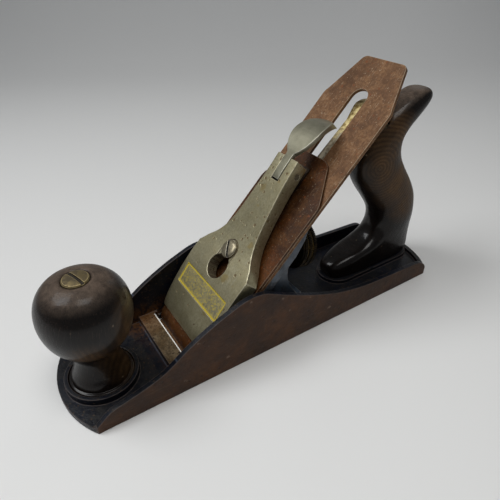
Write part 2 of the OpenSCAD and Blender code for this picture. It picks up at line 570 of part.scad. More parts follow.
module tote_solid() {
  n = len(tote_rings);
  ends = [for (i = [0, n - 1]) let (v = tote_rings[i])
    let (m = (tp(v[0], v[1]) + tp(v[2], v[3])) / 2) [m[0], 0, m[1]]];
  polyhedron(points = concat([for (v = tote_rings) each tote_ring(v)], ends),
    faces = concat(
      [for (i = [0:n - 2], k = [0:tote_nn - 1]) let (a = i * tote_nn + k,
        b = i * tote_nn + (k + 1) % tote_nn) each [[a, b, b + tote_nn], [a, b + tote_nn, a + tote_nn]]],
      [for (k = [0:tote_nn - 1]) [(k + 1) % tote_nn, k, n * tote_nn]],
      [for (k = [0:tote_nn - 1]) [(n - 1) * tote_nn + k, (n - 1) * tote_nn + (k + 1) % tote_nn,
        n * tote_nn + 1]]));
}
rod_l = (tote_h - 17) / cos(rod_a) - sole_t - 0.2;      // length up to the nut seat
module tote() color([0.12, 0.055, 0.04]) difference() {
  tote_solid();
  on_rod() {
    cylinder(h = rod_l + 20, r = 3.3);
    translate([0, 0, rod_l - 12]) cylinder(h = 40, r = 4.7);
    translate([0, 0, rod_l - 4]) cylinder(h = 40, r = 6.6);
  }
}
module tote_rod() color([0.4, 0.36, 0.3]) on_rod() translate([0, 0, -1.8])
  cylinder(h = rod_l - 2.4, r = 3);
module tote_nut() color([0.5, 0.42, 0.22]) on_rod() difference() {
  union() {
    translate([0, 0, rod_l - 11.8]) cylinder(h = 9, r = 4.5);
    translate([0, 0, rod_l - 3.98]) rotate_extrude() polygon([[0, 0], [6.3, 0], [6.4, 1.7],
      [5.6, 2.4], [3, 2.8], [0, 2.9]]);
  }
  translate([0, 0, rod_l - 13]) cylinder(h = 9.4, r = 3.02);
  rotate([0, 0, 30]) slab(-8, 8, 1.4, rod_l - 2.4, rod_l + 2);
}

plane_body();
frog();
frog_screws();
frog_screw_washers();
frog_adjusting_screw();
frog_clip();
frog_clip_screw();
depth_stud();
depth_wheel();
depth_yoke();
yoke_pin();
lateral_lever();
lateral_disc();
lateral_pivot();
lever_cap_screw();
lever_cap();
cap_cam_lever();
cam_pin();
cap_spring();
cap_spring_rivet();
cutter();
cap_iron();
cap_iron_screw();
knob();
knob_stud();
knob_nut();
tote();
tote_rod();
tote_nut();
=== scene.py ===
# %% [markdown]
# # A smoothing plane, dressed for its portrait
# The iron parts, the handles and every pin already exist as a CAD model, and that model is the
# frame of this scene. Here each piece gets the surface that years on a bench gave it: ground
# sides gone brown, black enamel inside, a rusty cutter, dull nickel on the lever cap and dark
# polished hardwood. Lengths in this script are metres, in the same axes as the CAD model: the
# toe points to minus x, the heel to plus x, the left side is at minus y, the sole lies on z = 0.

# %% Load the frame
import json
import math

import bmesh
import bpy
from mathutils import Matrix, Vector
from mathutils.bvhtree import BVHTree


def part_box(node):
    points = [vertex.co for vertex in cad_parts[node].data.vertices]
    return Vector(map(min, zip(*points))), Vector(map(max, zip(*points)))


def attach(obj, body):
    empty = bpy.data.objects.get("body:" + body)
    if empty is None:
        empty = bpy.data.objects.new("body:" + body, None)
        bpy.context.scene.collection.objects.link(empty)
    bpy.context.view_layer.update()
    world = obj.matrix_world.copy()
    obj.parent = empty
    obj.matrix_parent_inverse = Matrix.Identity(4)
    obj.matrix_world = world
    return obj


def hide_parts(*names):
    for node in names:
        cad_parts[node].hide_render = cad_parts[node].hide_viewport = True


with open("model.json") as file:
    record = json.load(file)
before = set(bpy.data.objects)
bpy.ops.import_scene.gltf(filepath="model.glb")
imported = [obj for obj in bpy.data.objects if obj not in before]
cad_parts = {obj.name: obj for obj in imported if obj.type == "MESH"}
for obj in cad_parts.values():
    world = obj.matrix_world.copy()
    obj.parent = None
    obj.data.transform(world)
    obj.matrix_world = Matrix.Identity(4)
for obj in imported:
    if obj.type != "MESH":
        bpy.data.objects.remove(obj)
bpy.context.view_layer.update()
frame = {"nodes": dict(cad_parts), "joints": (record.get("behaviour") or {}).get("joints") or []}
print("nodes in the frame:", len(frame["nodes"]))

# %% [markdown]
# ## Measures taken from the frame
# The sole gives the length and width, and the cutter says where its edge is, from which
# everything sloping starts. How thick the iron is and how steeply it lies are the CAD's own
# values. A bed matrix turns coordinates along the bed (up the slope, across, square to it) into
# the shared frame, so a point on the lever cap can be named by how far up the slope it lies.

# %% Sizes and the bed
MM = 0.001
sole_corner = Vector(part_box("plane_body")[1])
half_length, half_width = sole_corner.x, sole_corner.y
edge_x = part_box("cutter")[0][0]
edge_height = 0.2 * MM
iron_thickness = 2.2 * MM
slope = math.radians(45)
bed_origin = Vector((edge_x + iron_thickness * math.sin(slope), 0,
                     edge_height - iron_thickness * math.cos(slope)))
bed = Matrix.Translation(bed_origin) @ Matrix.Rotation(-slope, 4, "Y")
print("sole %.0f x %.0f mm, edge at x = %.1f mm"
      % (2 * half_length / MM, 2 * half_width / MM, edge_x / MM))

# %% [markdown]
# ## The camera first
# The picture was taken from the front left and well above the tool, from close by, so the view
# is wide and its edges lean. Placing the camera before anything else means every piece can be
# judged from the right spot as soon as it exists. The position was worked out from the corners
# of the sole and of the cutter, which show clearly.

# %% Camera
camera_place = Vector((-120.34, -181.17, 197.13)) * MM
camera_turn = math.radians(-31.5)
camera_height = math.radians(35.1)
camera_roll = math.radians(-1.3)
focal_pixels = 464.27
picture = 500
middle = (246.62, 251.76)
film_width = 36

lens = bpy.data.cameras.new("camera")
lens.sensor_width = film_width
lens.lens = film_width * focal_pixels / picture
lens.shift_x = (picture / 2 - middle[0]) / picture
lens.shift_y = (middle[1] - picture / 2) / picture
lens.clip_start = 0.01
camera = bpy.data.objects.new("camera", lens)
backward = Vector((math.sin(camera_turn) * math.cos(camera_height),
                   -math.cos(camera_turn) * math.cos(camera_height), math.sin(camera_height)))
facing = backward.to_track_quat("Z", "Y").to_matrix().to_4x4()
camera.matrix_world = (Matrix.Translation(camera_place) @ facing
                       @ Matrix.Rotation(camera_roll, 4, "Z"))
bpy.context.collection.objects.link(camera)
bpy.context.scene.camera = camera
print("lens %.1f mm" % lens.lens)

# %% [markdown]
# ## Floor and light
# The tool stands on a white board that curves up behind it. One bent sheet makes both, and its
# far edge is high enough that no horizon shows. Three soft panels light it. The window hangs
# high behind the toe and draws the pale sheen on top of the knob and the handle, the ceiling
# lamp lies over the camera's side and opens up the near cheek, and a faint one at the heel puts
# a rim on the handle's back. The ceiling lamp's narrow spread keeps the far board a little
# darker, and a weak even glow from all round keeps the shadows soft.

# %% Floor
def stage_sheet(depth, rise, bend, width, steps):
    """A floor that curves up into a wall behind the tool, seen from the camera's side. Its
    depth and width are measured from the tool."""
    across = Vector((math.cos(camera_turn), math.sin(camera_turn), 0))
    away = Vector((-math.sin(camera_turn), math.cos(camera_turn), 0))
    line = [(-depth, 0), (depth - bend, 0)]
    line += [(depth - bend + bend * math.sin(a), bend - bend * math.cos(a))
             for a in (math.pi / 2 * k / steps for k in range(1, steps + 1))]
    line += [(depth, rise)]
    net = bmesh.new()
    rows = [[net.verts.new(across * side * width + away * d + Vector((0, 0, h)))
             for side in (-1, 1)] for d, h in line]
    for one, two in zip(rows, rows[1:]):
        net.faces.new((one[0], one[1], two[1], two[0]))
    mesh = bpy.data.meshes.new("floor")
    net.to_mesh(mesh)
    net.free()
    mesh.shade_smooth()
    floor = bpy.data.objects.new("floor", mesh)
    bpy.context.collection.objects.link(floor)
    return floor


floor = stage_sheet(depth=0.9, rise=1.6, bend=0.35, width=2.2, steps=16)
paint = bpy.data.materials.new("white_board")
paint.use_nodes = True
board = paint.node_tree.nodes["Principled BSDF"].inputs
board["Base Color"].default_value = (0.76, 0.76, 0.75, 1)
board["Roughness"].default_value = 0.6
floor.data.materials.append(paint)
print("floor strips:", len(floor.data.polygons))

# %% Lights
def soft_panel(name, spot, target, size, watts, spread=180, tint=(1, 1, 1)):
    """A rectangular lamp aimed at a target. A small spread acts like a grid over a soft box."""
    lamp = bpy.data.lights.new(name, "AREA")
    lamp.shape = "RECTANGLE"
    lamp.size, lamp.size_y = size
    lamp.energy = watts
    lamp.spread = math.radians(spread)
    lamp.color = tint
    panel = bpy.data.objects.new(name, lamp)
    back = Vector(spot) - Vector(target)
    panel.matrix_world = (Matrix.Translation(Vector(spot))
                          @ back.to_track_quat("Z", "Y").to_matrix().to_4x4())
    bpy.context.collection.objects.link(panel)
    print("lamp %-8s %.2f W" % (name, watts))


soft_panel("window", spot=(-0.5, 0.28, 0.85), target=(-0.08, -0.12, 0), size=(0.55, 0.45),
           watts=3.7, spread=150, tint=(0.98, 0.99, 1))
soft_panel("ceiling", spot=(-0.05, -0.25, 1.1), target=(-0.02, -0.16, 0), size=(0.5, 0.5),
           watts=1.0, spread=80, tint=(1, 0.99, 0.97))
soft_panel("side", spot=(0.7, 0.45, 0.5), target=(0.05, 0, 0.06), size=(0.25, 0.4), watts=0.25)

# %% Even glow
world = bpy.data.worlds.new("glow")
bpy.context.scene.world = world
world.use_nodes = True
glow = world.node_tree.nodes["Background"].inputs
glow["Color"].default_value = (0.93, 0.96, 1, 1)
glow["Strength"].default_value = 0.16
bpy.context.scene.view_settings.view_transform = "Standard"
print("glow strength: %.2f" % glow["Strength"].default_value)

# %% [markdown]
# ## Small tools for building shaders
# A shader tree is a list of nodes and wires. A few helpers keep that list short. One places a
# node and fills its sockets, with a plain value or with a wire from another node. Others mix
# two colours, stretch a value from one range to another, do a sum, and lay a colour over a tone
# where a mask says. Patterns read Object coordinates, in metres, so they stick to the piece
# when it moves.

# %% Placing nodes
def feed(tree, socket, value):
    """Fills a socket with a plain value, or with a wire from another node's output."""
    if isinstance(value, bpy.types.NodeSocket):
        tree.links.new(value, socket)
    else:
        socket.default_value = value


def add_node(tree, kind, inputs=None, **settings):
    """One node of any kind, with its settings and its sockets filled."""
    made = tree.nodes.new(kind)
    for name, value in settings.items():
        setattr(made, name, value)
    for name, value in (inputs or {}).items():
        feed(tree, made.inputs[name], value)
    return made


def place(tree, kind, inputs=None, **settings):
    """One shader node."""
    return add_node(tree, "ShaderNode" + kind, inputs, **settings)

# %% Sums
def calc(tree, kind, *values):
    """One sum, such as ADD or MULTIPLY. MULTIPLY_ADD takes three values."""
    return place(tree, "Math", dict(enumerate(values)), operation=kind).outputs[0]


def both(tree, first, *others):
    """Where all the masks hold at once: their product."""
    for other in others:
        first = calc(tree, "MULTIPLY", first, other)
    return first


def stretch(tree, value, low, high, to_low=0.0, to_high=1.0):
    """Stretches the range from low to high, and holds the value at the new range's ends."""
    made = place(tree, "MapRange", {"Value": value, "From Min": low, "From Max": high,
                                    "To Min": to_low, "To Max": to_high})
    return made.outputs["Result"]

# %% Colours
def blend(tree, amount, first, second):
    """Mixes two colours. Sockets 0, 6 and 7 are the factor and the colours."""
    made = place(tree, "Mix", {0: amount, 6: first, 7: second}, data_type="RGBA")
    return made.outputs[2]


def layer(tree, tone, mask, strength, over):
    """Lays a colour over a tone where the mask says, at a given strength."""
    return blend(tree, calc(tree, "MULTIPLY", mask, strength), tone, over)


def colour(red, green, blue):
    """A colour as read off a screen, 0 to 255, in the linear values that shaders use."""
    def linear(value):
        value /= 255
        return value / 12.92 if value < 0.04045 else ((value + 0.055) / 1.055) ** 2.4
    return (linear(red), linear(green), linear(blue), 1)

# %% Node groups
def new_group(name, inputs, outputs):
    """A node group with the named sockets, and its two end nodes."""
    tree = bpy.data.node_groups.new(name, "ShaderNodeTree")
    for socket, kind, value in inputs:
        made = tree.interface.new_socket(socket, in_out="INPUT", socket_type="NodeSocket" + kind)
        if value is not None:
            made.default_value = value
    for socket, kind in outputs:
        tree.interface.new_socket(socket, in_out="OUTPUT", socket_type="NodeSocket" + kind)
    return tree, tree.nodes.new("NodeGroupInput").outputs, tree.nodes.new("NodeGroupOutput").inputs


def use_group(tree, group, **values):
    """Places a group. Underscores in the value names stand for spaces."""
    made = tree.nodes.new("ShaderNodeGroup")
    made.node_tree = group
    for name, value in values.items():
        feed(tree, made.inputs[name.replace("_", " ").capitalize()], value)
    return made.outputs

# %% [markdown]
# ## What age does to a surface
# The same few marks turn up on every piece. They could be drawn into each material anew, but
# then a change would have to be made a dozen times, so each mark is a node group, made once and
# used with different numbers. *Patches* are soft-edged clouds: rust blooms, stains, worn
# polish. *Specks* are small ragged spots that may also be pits. *Scratches* are fine lines
# along one direction. *Rubbed edges* reads a mark that the bevelled edges carry, and breaks it
# up, because an edge is never worn evenly. *Hollow shade* reads a second mark, on faces that lie
# shut in, such as the walls of a screw slot, and paints shade there.

# %% Patches
none_level, full_level = 0.78, 0.22
patches, given, out = new_group(
    "patches",
    [("Vector", "Vector", None), ("Size", "Float", 0.01), ("Cover", "Float", 0.5),
     ("Softness", "Float", 0.1), ("Seed", "Float", 0.0)],
    [("Mask", "Float"), ("Cloud", "Float")])
scaled = calc(patches, "DIVIDE", 1.0, given["Size"])
cloud = place(patches, "TexNoise", {"Vector": given["Vector"], "W": given["Seed"],
                                    "Scale": scaled, "Detail": 7, "Roughness": 0.62,
                                    "Distortion": 0.3}, noise_dimensions="4D")
level = stretch(patches, given["Cover"], 0, 1, none_level, full_level)
low = calc(patches, "SUBTRACT", level, given["Softness"])
high = calc(patches, "ADD", level, given["Softness"])
mask = place(patches, "MapRange", {"Value": cloud.outputs["Fac"], "From Min": low,
                                   "From Max": high}, interpolation_type="SMOOTHSTEP")
patches.links.new(mask.outputs["Result"], out["Mask"])
patches.links.new(cloud.outputs["Fac"], out["Cloud"])
print(patches.name, len(patches.nodes), "nodes")

# %% Specks
seed_step, raggedness = 0.37, 0.7
smallest, largest, soft_rim = 0.14, 0.42, 0.12
specks, given, out = new_group(
    "specks",
    [("Vector", "Vector", None), ("Size", "Float", 0.002), ("Cover", "Float", 0.3),
     ("Seed", "Float", 0.0)],
    [("Mask", "Float")])
scaled = calc(specks, "DIVIDE", 1.0, given["Size"])
ragged = place(specks, "TexNoise", {"Vector": given["Vector"], "Detail": 3.0,
                                    "Scale": calc(specks, "MULTIPLY", scaled, 2.0)})
shake = place(specks, "VectorMath", {0: ragged.outputs["Color"], "Scale": calc(
    specks, "MULTIPLY", given["Size"], raggedness)}, operation="SCALE")
start = place(specks, "CombineXYZ", {"X": calc(specks, "MULTIPLY", given["Seed"], seed_step)})
moved = place(specks, "VectorMath", {0: given["Vector"], 1: shake.outputs["Vector"]},
              operation="ADD")
moved = place(specks, "VectorMath", {0: moved.outputs["Vector"], 1: start.outputs[0]},
              operation="ADD")
cells = place(specks, "TexVoronoi", {"Vector": moved.outputs["Vector"], "Scale": scaled,
                                     "Randomness": 1.0})
chance = place(specks, "SeparateColor", {"Color": cells.outputs["Color"]})
picked = calc(specks, "LESS_THAN", chance.outputs["Red"], given["Cover"])
radius = stretch(specks, chance.outputs["Green"], 0, 1, smallest, largest)
inside = calc(specks, "SUBTRACT", radius, cells.outputs["Distance"])
spot = stretch(specks, inside, 0, soft_rim)
specks.links.new(calc(specks, "MULTIPLY", spot, picked), out["Mask"])
print(specks.name, len(specks.nodes), "nodes")

# %% Scratches
none_level, full_level = 0.75, 0.35
scratches, given, out = new_group(
    "scratches",
    [("Vector", "Vector", None), ("Width", "Float", 0.0004), ("Length", "Float", 0.02),
     ("Cover", "Float", 0.3), ("Seed", "Float", 0.0)],
    [("Mask", "Float"), ("Line", "Float")])
parts = place(scratches, "SeparateXYZ", {"Vector": given["Vector"]})
along = calc(scratches, "DIVIDE", parts.outputs["X"], given["Length"])
side = calc(scratches, "DIVIDE", parts.outputs["Y"], given["Width"])
rise = calc(scratches, "DIVIDE", parts.outputs["Z"], given["Width"])
joined = place(scratches, "CombineXYZ", {"X": along, "Y": side, "Z": rise})
lines = place(scratches, "TexNoise", {"Vector": joined.outputs[0], "W": given["Seed"],
                                      "Scale": 1.0, "Detail": 2.0, "Roughness": 0.5},
              noise_dimensions="4D")
level = stretch(scratches, given["Cover"], 0, 1, none_level, full_level)
shown = calc(scratches, "SUBTRACT", lines.outputs["Fac"], level)
scratches.links.new(stretch(scratches, shown, 0, 0.08), out["Mask"])
scratches.links.new(lines.outputs["Fac"], out["Line"])
print(scratches.name, len(scratches.nodes), "nodes")

# %% Rubbed edges
rubbed, given, out = new_group(
    "rubbed edges",
    [("Vector", "Vector", None), ("Size", "Float", 0.004), ("Cover", "Float", 0.6)],
    [("Mask", "Float")])
mark = place(rubbed, "Attribute", attribute_name="rub")
worn = use_group(rubbed, patches, vector=given["Vector"], size=given["Size"],
                 cover=given["Cover"], softness=0.08, seed=3.0)
rubbed.links.new(calc(rubbed, "MULTIPLY", mark.outputs["Fac"], worn["Mask"]), out["Mask"])
print(rubbed.name, len(rubbed.nodes), "nodes")

# %% Painted shade in hollows
unevenness, fade_width = 0.3, 0.2
# Painted shade: faces that the rays found shut in are darkened, as if little light reached them.
hollow_shade, given, out = new_group(
    "hollow_shade",
    [("Vector", "Vector", None), ("Size", "Float", 0.002), ("Start", "Float", 0.36)],
    [("Mask", "Float")])
mark = place(hollow_shade, "Attribute", attribute_name="hollow")
uneven = use_group(hollow_shade, patches, vector=given["Vector"], size=given["Size"], cover=0.5,
                   softness=0.2, seed=6.0)
edge = calc(hollow_shade, "MULTIPLY_ADD", uneven["Cloud"], unevenness, mark.outputs["Fac"])
full = calc(hollow_shade, "ADD", given["Start"], fade_width)
hollow_shade.links.new(stretch(hollow_shade, edge, given["Start"], full), out["Mask"])
print(hollow_shade.name, len(hollow_shade.nodes), "nodes")

# %% [markdown]
# ## Starting a finish
# Every finish starts alike: a material, its Principled shader, and the coordinates its patterns
# read. Most pieces lie on the slope, so the coordinates can be turned with a Mapping node until
# x runs along the piece. Then a scratch drawn along x follows the way the piece was rubbed. Each
# finish is kept under its name, for the pieces that wear it.

# %% A material and its coordinates
finishes = {}


def start_finish(name, lie=None):
    """A new material, its tree, its shader and its coordinates, turned by a matrix if given."""
    material = bpy.data.materials.new(name)
    material.use_nodes = True
    tree = material.node_tree
    vector = place(tree, "TexCoord").outputs["Object"]
    if lie is not None:
        back = lie.inverted()
        turned_back = place(tree, "Mapping", {"Vector": vector, "Location": back.translation,
                                              "Rotation": back.to_euler()})
        vector = turned_back.outputs["Vector"]
    return material, tree, tree.nodes["Principled BSDF"], vector


def wire(tree, shader, **sockets):
    """Fills sockets of the shader. Underscores stand for spaces."""
    for name, value in sockets.items():
        feed(tree, shader.inputs[name.replace("_", " ").title().replace("Ior", "IOR")], value)


def keep(name, material):
    """Keeps a finish under its name."""
    finishes[name] = material
    print("finish %-18s %3d nodes" % (name, len(material.node_tree.nodes)))

# %% Relief and bands
def relief(tree, height, depth):
    """Bumps of a given depth, in metres, for the shader's Normal."""
    return place(tree, "Bump", {"Height": height, "Distance": depth}).outputs["Normal"]


def between(tree, value, low, high, soft):
    """1 where the value lies between two limits, with soft ends."""
    above = stretch(tree, value, low - soft, low + soft)
    below = stretch(tree, value, high - soft, high + soft, 1, 0)
    return calc(tree, "MULTIPLY", above, below)

# %% [markdown]
# ## Aged metal
# Screws, pins, the adjusting fork and the handles' brass nuts are small metal parts with the
# same story: a metal colour, dirt or rust that has bloomed over it, and bright edges where it is
# touched. One function with a few colours makes them all. The wheel has a finish of its own,
# further down, because its grooves are bright.

# %% Aged metal
def aged_metal(name, metal, stain, bright, shine=0.85, rough=0.4, cover=0.5, grain=0.006):
    """A small metal part: stained in patches and specks, and bright where it is touched."""
    material, tree, shader, vector = start_finish(name)
    bloom = use_group(tree, patches, vector=vector, size=grain, cover=cover, softness=0.1)
    fine = use_group(tree, patches, vector=vector, size=grain / 6, cover=0.5, softness=0.2,
                     seed=5.0)
    dots = use_group(tree, specks, vector=vector, size=grain / 4, cover=0.35, seed=1.0)
    edge = use_group(tree, rubbed, vector=vector, size=grain / 2, cover=0.7)
    tone = blend(tree, stretch(tree, fine["Cloud"], 0.3, 0.7, 0, 0.5), metal, stain)
    tone = blend(tree, bloom["Mask"], tone, stain)
    tone = layer(tree, tone, dots["Mask"], 0.6, stain)
    tone = layer(tree, tone, edge["Mask"], 0.8, bright)
    # Painted shade: faces shut in, such as the walls of a screw slot, are darkened nearly to
    # black.
    painted_shade = use_group(tree, hollow_shade, vector=vector)["Mask"]
    tone = layer(tree, tone, painted_shade, 0.92, colour(20, 15, 11))
    dull = calc(tree, "MAXIMUM", bloom["Mask"], calc(tree, "MULTIPLY", dots["Mask"], 0.5))
    dull = calc(tree, "MAXIMUM", dull, painted_shade)
    wire(tree, shader, base_color=tone,
         metallic=stretch(tree, dull, 0, 1, shine, shine * 0.35),
         roughness=stretch(tree, dull, 0, 1, rough, min(rough + 0.3, 0.9)),
         normal=relief(tree, calc(tree, "SUBTRACT", fine["Cloud"], dots["Mask"]), 0.08 * MM))
    return material


small_metals = {
    "dark_steel": dict(metal=colour(88, 76, 66), stain=colour(52, 36, 25),
                       bright=colour(150, 142, 130)),
    "yoke_iron": dict(metal=colour(66, 60, 55), stain=colour(36, 28, 22),
                      bright=colour(120, 112, 104), shine=0.6),
    "dull_nickel_screw": dict(metal=colour(150, 142, 120), stain=colour(84, 74, 54),
                              bright=colour(196, 190, 172), cover=0.3),
    "brass_nut": dict(metal=colour(118, 104, 72), stain=colour(74, 64, 44),
                      bright=colour(170, 152, 108), shine=0.7, rough=0.5, grain=0.004),
}
for name, tones in small_metals.items():
    keep(name, aged_metal(name, **tones))

# %% [markdown]
# ## The casting: ground outside, enamel inside
# The body is one iron casting. Its sides and sole were ground flat and left bare, and a century
# of hands and damp has turned them dark brown. Everything inside was dipped in a thick black
# enamel, which pools in corners, looks faintly blue, and lets rust through where water lay, most
# of all round the mouth. Two materials would need the mesh cut along their border. Here a
# single material holds both, told apart by which way the surface faces and how far out it lies,
# so the border can be soft. Each cell below makes one of these surfaces, and the last lays them
# over each other.

# %% Ground iron
def ground_iron(tree, vector, mottle, dots):
    """Bare sides: brown clouds, finer blotches, long scratches and dark spots."""
    clouds = use_group(tree, patches, vector=vector, size=0.035, cover=0.5, softness=0.2)
    lines = use_group(tree, scratches, vector=vector, width=0.0005, length=0.03, cover=0.35,
                      seed=7.0)
    chips = use_group(tree, specks, vector=vector, size=0.005, cover=0.07, seed=8.0)
    tone = blend(tree, clouds["Mask"], colour(54, 39, 30), colour(88, 57, 35))
    tone = layer(tree, tone, mottle["Mask"], 0.6, colour(48, 36, 30))
    tone = layer(tree, tone, lines["Mask"], 0.3, colour(104, 82, 64))
    tone = layer(tree, tone, dots["Mask"], 0.5, colour(34, 25, 21))
    return layer(tree, tone, chips["Mask"], 0.55, colour(132, 112, 96))

# %% Black enamel
mouth_x = edge_x - 1.8 * MM
bar_width = 9.6 * MM
bar_front = mouth_x - bar_width


def black_enamel(tree, vector, at, upward, mottle, dust):
    """Enamel: navy black, dusty on the flats, with a band of painted shade in front of the bare
    bar and a thin painted highlight at the band's back edge.
    """
    tone = blend(tree, mottle["Mask"], colour(9, 12, 19), colour(20, 22, 27))
    navy = use_group(tree, patches, vector=vector, size=0.018, cover=0.45, softness=0.12,
                     seed=15.0)
    tone = layer(tree, tone, navy["Mask"], 0.7, colour(13, 20, 35))
    lies = both(tree, dust["Mask"], upward, stretch(tree, at["Z"], 5 * MM, 16 * MM, 0.45, 0))
    tone = blend(tree, lies, tone, colour(46, 43, 38))
    # Painted shade: a darker band across the floor just in front of the bar.
    gutter_shade = between(tree, at["X"], bar_front - 6 * MM, bar_front, 0.5 * MM)
    tone = layer(tree, tone, gutter_shade, 0.85, colour(10, 14, 24))
    # Painted highlight: a thin pale line at the back of that band, on faces that look up.
    rib_highlight = both(tree, between(tree, at["X"], bar_front - 0.9 * MM, bar_front - 0.2 * MM,
                             0.15 * MM),
               upward, stretch(tree, mottle["Cloud"], 0.35, 0.55, 0.3, 0.9))
    return blend(tree, rib_highlight, tone, colour(62, 70, 84))

# %% Rust round the mouth
def mouth_rust(tree, vector, at, tone):
    """Brown grains all over the enamel, and rust that thickens round the mouth. Low on the
    far wall that rust is partly a painted orange-brown reflection.
    """
    peppered = use_group(tree, specks, vector=vector, size=0.0016, cover=0.5, seed=12.0)
    tone = layer(tree, tone, peppered["Mask"], 0.5, colour(76, 60, 42))
    near_mouth = between(tree, at["X"], mouth_x - 16 * MM, mouth_x + 16 * MM, 7 * MM)
    bloom = use_group(tree, patches, vector=vector, size=0.004, cover=0.5, softness=0.1,
                      seed=11.0)
    # Rust round the mouth, low down and stronger towards the far wall, where it is partly painted
    # orange-brown reflection.
    rust_and_reflection = both(tree, near_mouth, bloom["Mask"],
                 stretch(tree, at["Z"], 7 * MM, 17 * MM, 0.9, 0.05),
                 stretch(tree, at["Y"], 12 * MM, 24 * MM, 0.14, 1))
    return blend(tree, rust_and_reflection, tone, colour(96, 62, 30))

# %% Bare bar
def bare_bar(tree, vector, at, mottle):
    """The filed bar in front of the mouth: golden brown and pitted, redder to the right."""
    grains = use_group(tree, patches, vector=vector, size=0.0012, cover=0.5, softness=0.12,
                       seed=13.0)
    pits = use_group(tree, specks, vector=vector, size=0.002, cover=0.6, seed=14.0)
    redder = stretch(tree, at["Y"], 8 * MM, 26 * MM)
    tone = blend(tree, mottle["Mask"], colour(122, 106, 82), colour(92, 74, 50))
    tone = layer(tree, tone, grains["Mask"], 0.7, colour(56, 44, 30))
    tone = layer(tree, tone, redder, 0.5, colour(104, 60, 24))
    return layer(tree, tone, pits["Mask"], 0.85, colour(28, 21, 15))


def lip_highlight(tree, at):
    """Painted highlight: the front edge of the mouth, painted near white as one thin bright line.
    """
    lip_half = 26 * MM
    return both(tree, between(tree, at["X"], mouth_x - 0.75 * MM, mouth_x + 0.3 * MM, 0.08 * MM),
                between(tree, at["Z"], 6.2 * MM, 7.2 * MM, 0.1 * MM),
                stretch(tree, calc(tree, "ABSOLUTE", at["Y"]), lip_half - 0.4 * MM, lip_half,
                        1, 0))

# %% Which parts are bare
def ground_parts(tree, at, face):
    """The outer flanks and the sole, told by where they lie and which way they face."""
    flank = both(tree, stretch(tree, calc(tree, "ABSOLUTE", at["Y"]), half_width - 1.2 * MM,
                               half_width - 0.7 * MM),
                 stretch(tree, calc(tree, "ABSOLUTE", face["Y"]), 0.5, 0.7))
    return calc(tree, "MAXIMUM", flank, stretch(tree, face["Z"], -0.7, -0.5, 1, 0))


def bar_part(tree, at):
    """The top of the bar in front of the mouth, between its two heights above the sole."""
    return both(tree, between(tree, at["X"], bar_front, mouth_x, 0.25 * MM),
                between(tree, at["Z"], 6.3 * MM, 7.4 * MM, 0.2 * MM))

# %% Casting finish
def casting_finish():
    """Ground iron, enamel and the bare bar in one material."""
    material, tree, shader, vector = start_finish("japanned_casting")
    at = place(tree, "SeparateXYZ", {"Vector": vector}).outputs
    facing = place(tree, "TexCoord").outputs["Normal"]
    face = place(tree, "SeparateXYZ", {"Vector": facing}).outputs
    mottle = use_group(tree, patches, vector=vector, size=0.007, cover=0.5, softness=0.14,
                       seed=2.0)
    grit = use_group(tree, patches, vector=vector, size=0.0011, cover=0.5, softness=0.2,
                     seed=4.0)
    dots = use_group(tree, specks, vector=vector, size=0.0035, cover=0.28, seed=6.0)
    dust = use_group(tree, patches, vector=vector, size=0.0022, cover=0.5, softness=0.2,
                     seed=9.0)
    edge = use_group(tree, rubbed, vector=vector, size=0.009, cover=0.72)
    ground = ground_parts(tree, at, face)
    bar = bar_part(tree, at)
    upward = stretch(tree, face["Z"], 0.6, 0.9)
    tone = mouth_rust(tree, vector, at, black_enamel(tree, vector, at, upward, mottle, dust))
    tone = blend(tree, bar, tone, bare_bar(tree, vector, at, mottle))
    tone = blend(tree, ground, tone, ground_iron(tree, vector, mottle, dots))
    tone = layer(tree, tone, edge["Mask"], 0.45, colour(92, 82, 78))
    # Painted highlight: the mouth's front edge, near white.
    tone = blend(tree, lip_highlight(tree, at), tone, colour(246, 244, 238))
    bare = calc(tree, "MAXIMUM", ground, bar)
    glossy = calc(tree, "MULTIPLY", calc(tree, "SUBTRACT", 1.0, bare),
                  stretch(tree, dust["Mask"], 0, 1, 0.28, 0.5))
    dry = calc(tree, "MULTIPLY", bare, stretch(tree, grit["Cloud"], 0.3, 0.7, 0.42, 0.6))
    height = calc(tree, "MULTIPLY_ADD", mottle["Cloud"], 3.0, grit["Cloud"])
    height = calc(tree, "SUBTRACT", height, calc(tree, "MULTIPLY", dots["Mask"], 0.6))
    wire(tree, shader, base_color=tone, metallic=calc(tree, "MULTIPLY", bare, 0.12),
         roughness=calc(tree, "ADD", dry, glossy), normal=relief(tree, height, 0.18 * MM),
         specular_ior_level=0.2)
    return material


keep("japanned_casting", casting_finish())

# %% [markdown]
# ## The frog's faded enamel
# The frog is the sloping block that carries the irons. It was dipped in the same enamel as the
# casting, but where it shows beside the irons the black has faded to a slate blue. Its faces
# have no border to find, so clouds of two blues, dirt and rubbed edges are enough.

# %% Frog finish
def frog_finish():
    """The frog wears the same enamel, faded to a slate blue, with patches of dirt."""
    material, tree, shader, vector = start_finish("frog_paint", bed)
    fade = use_group(tree, patches, vector=vector, size=0.02, cover=0.5, softness=0.2)
    dirt = use_group(tree, patches, vector=vector, size=0.006, cover=0.42, softness=0.12,
                     seed=2.0)
    grit = use_group(tree, patches, vector=vector, size=0.0012, cover=0.5, softness=0.2,
                     seed=3.0)
    edge = use_group(tree, rubbed, vector=vector, size=0.006, cover=0.6)
    tone = blend(tree, fade["Mask"], colour(52, 60, 70), colour(70, 80, 92))
    tone = layer(tree, tone, dirt["Mask"], 0.8, colour(34, 31, 28))
    tone = layer(tree, tone, edge["Mask"], 0.6, colour(110, 104, 96))
    wire(tree, shader, base_color=tone, roughness=stretch(tree, dirt["Mask"], 0, 1, 0.3, 0.65),
         normal=relief(tree, grit["Cloud"], 0.1 * MM))
    return material


keep("frog_paint", frog_finish())

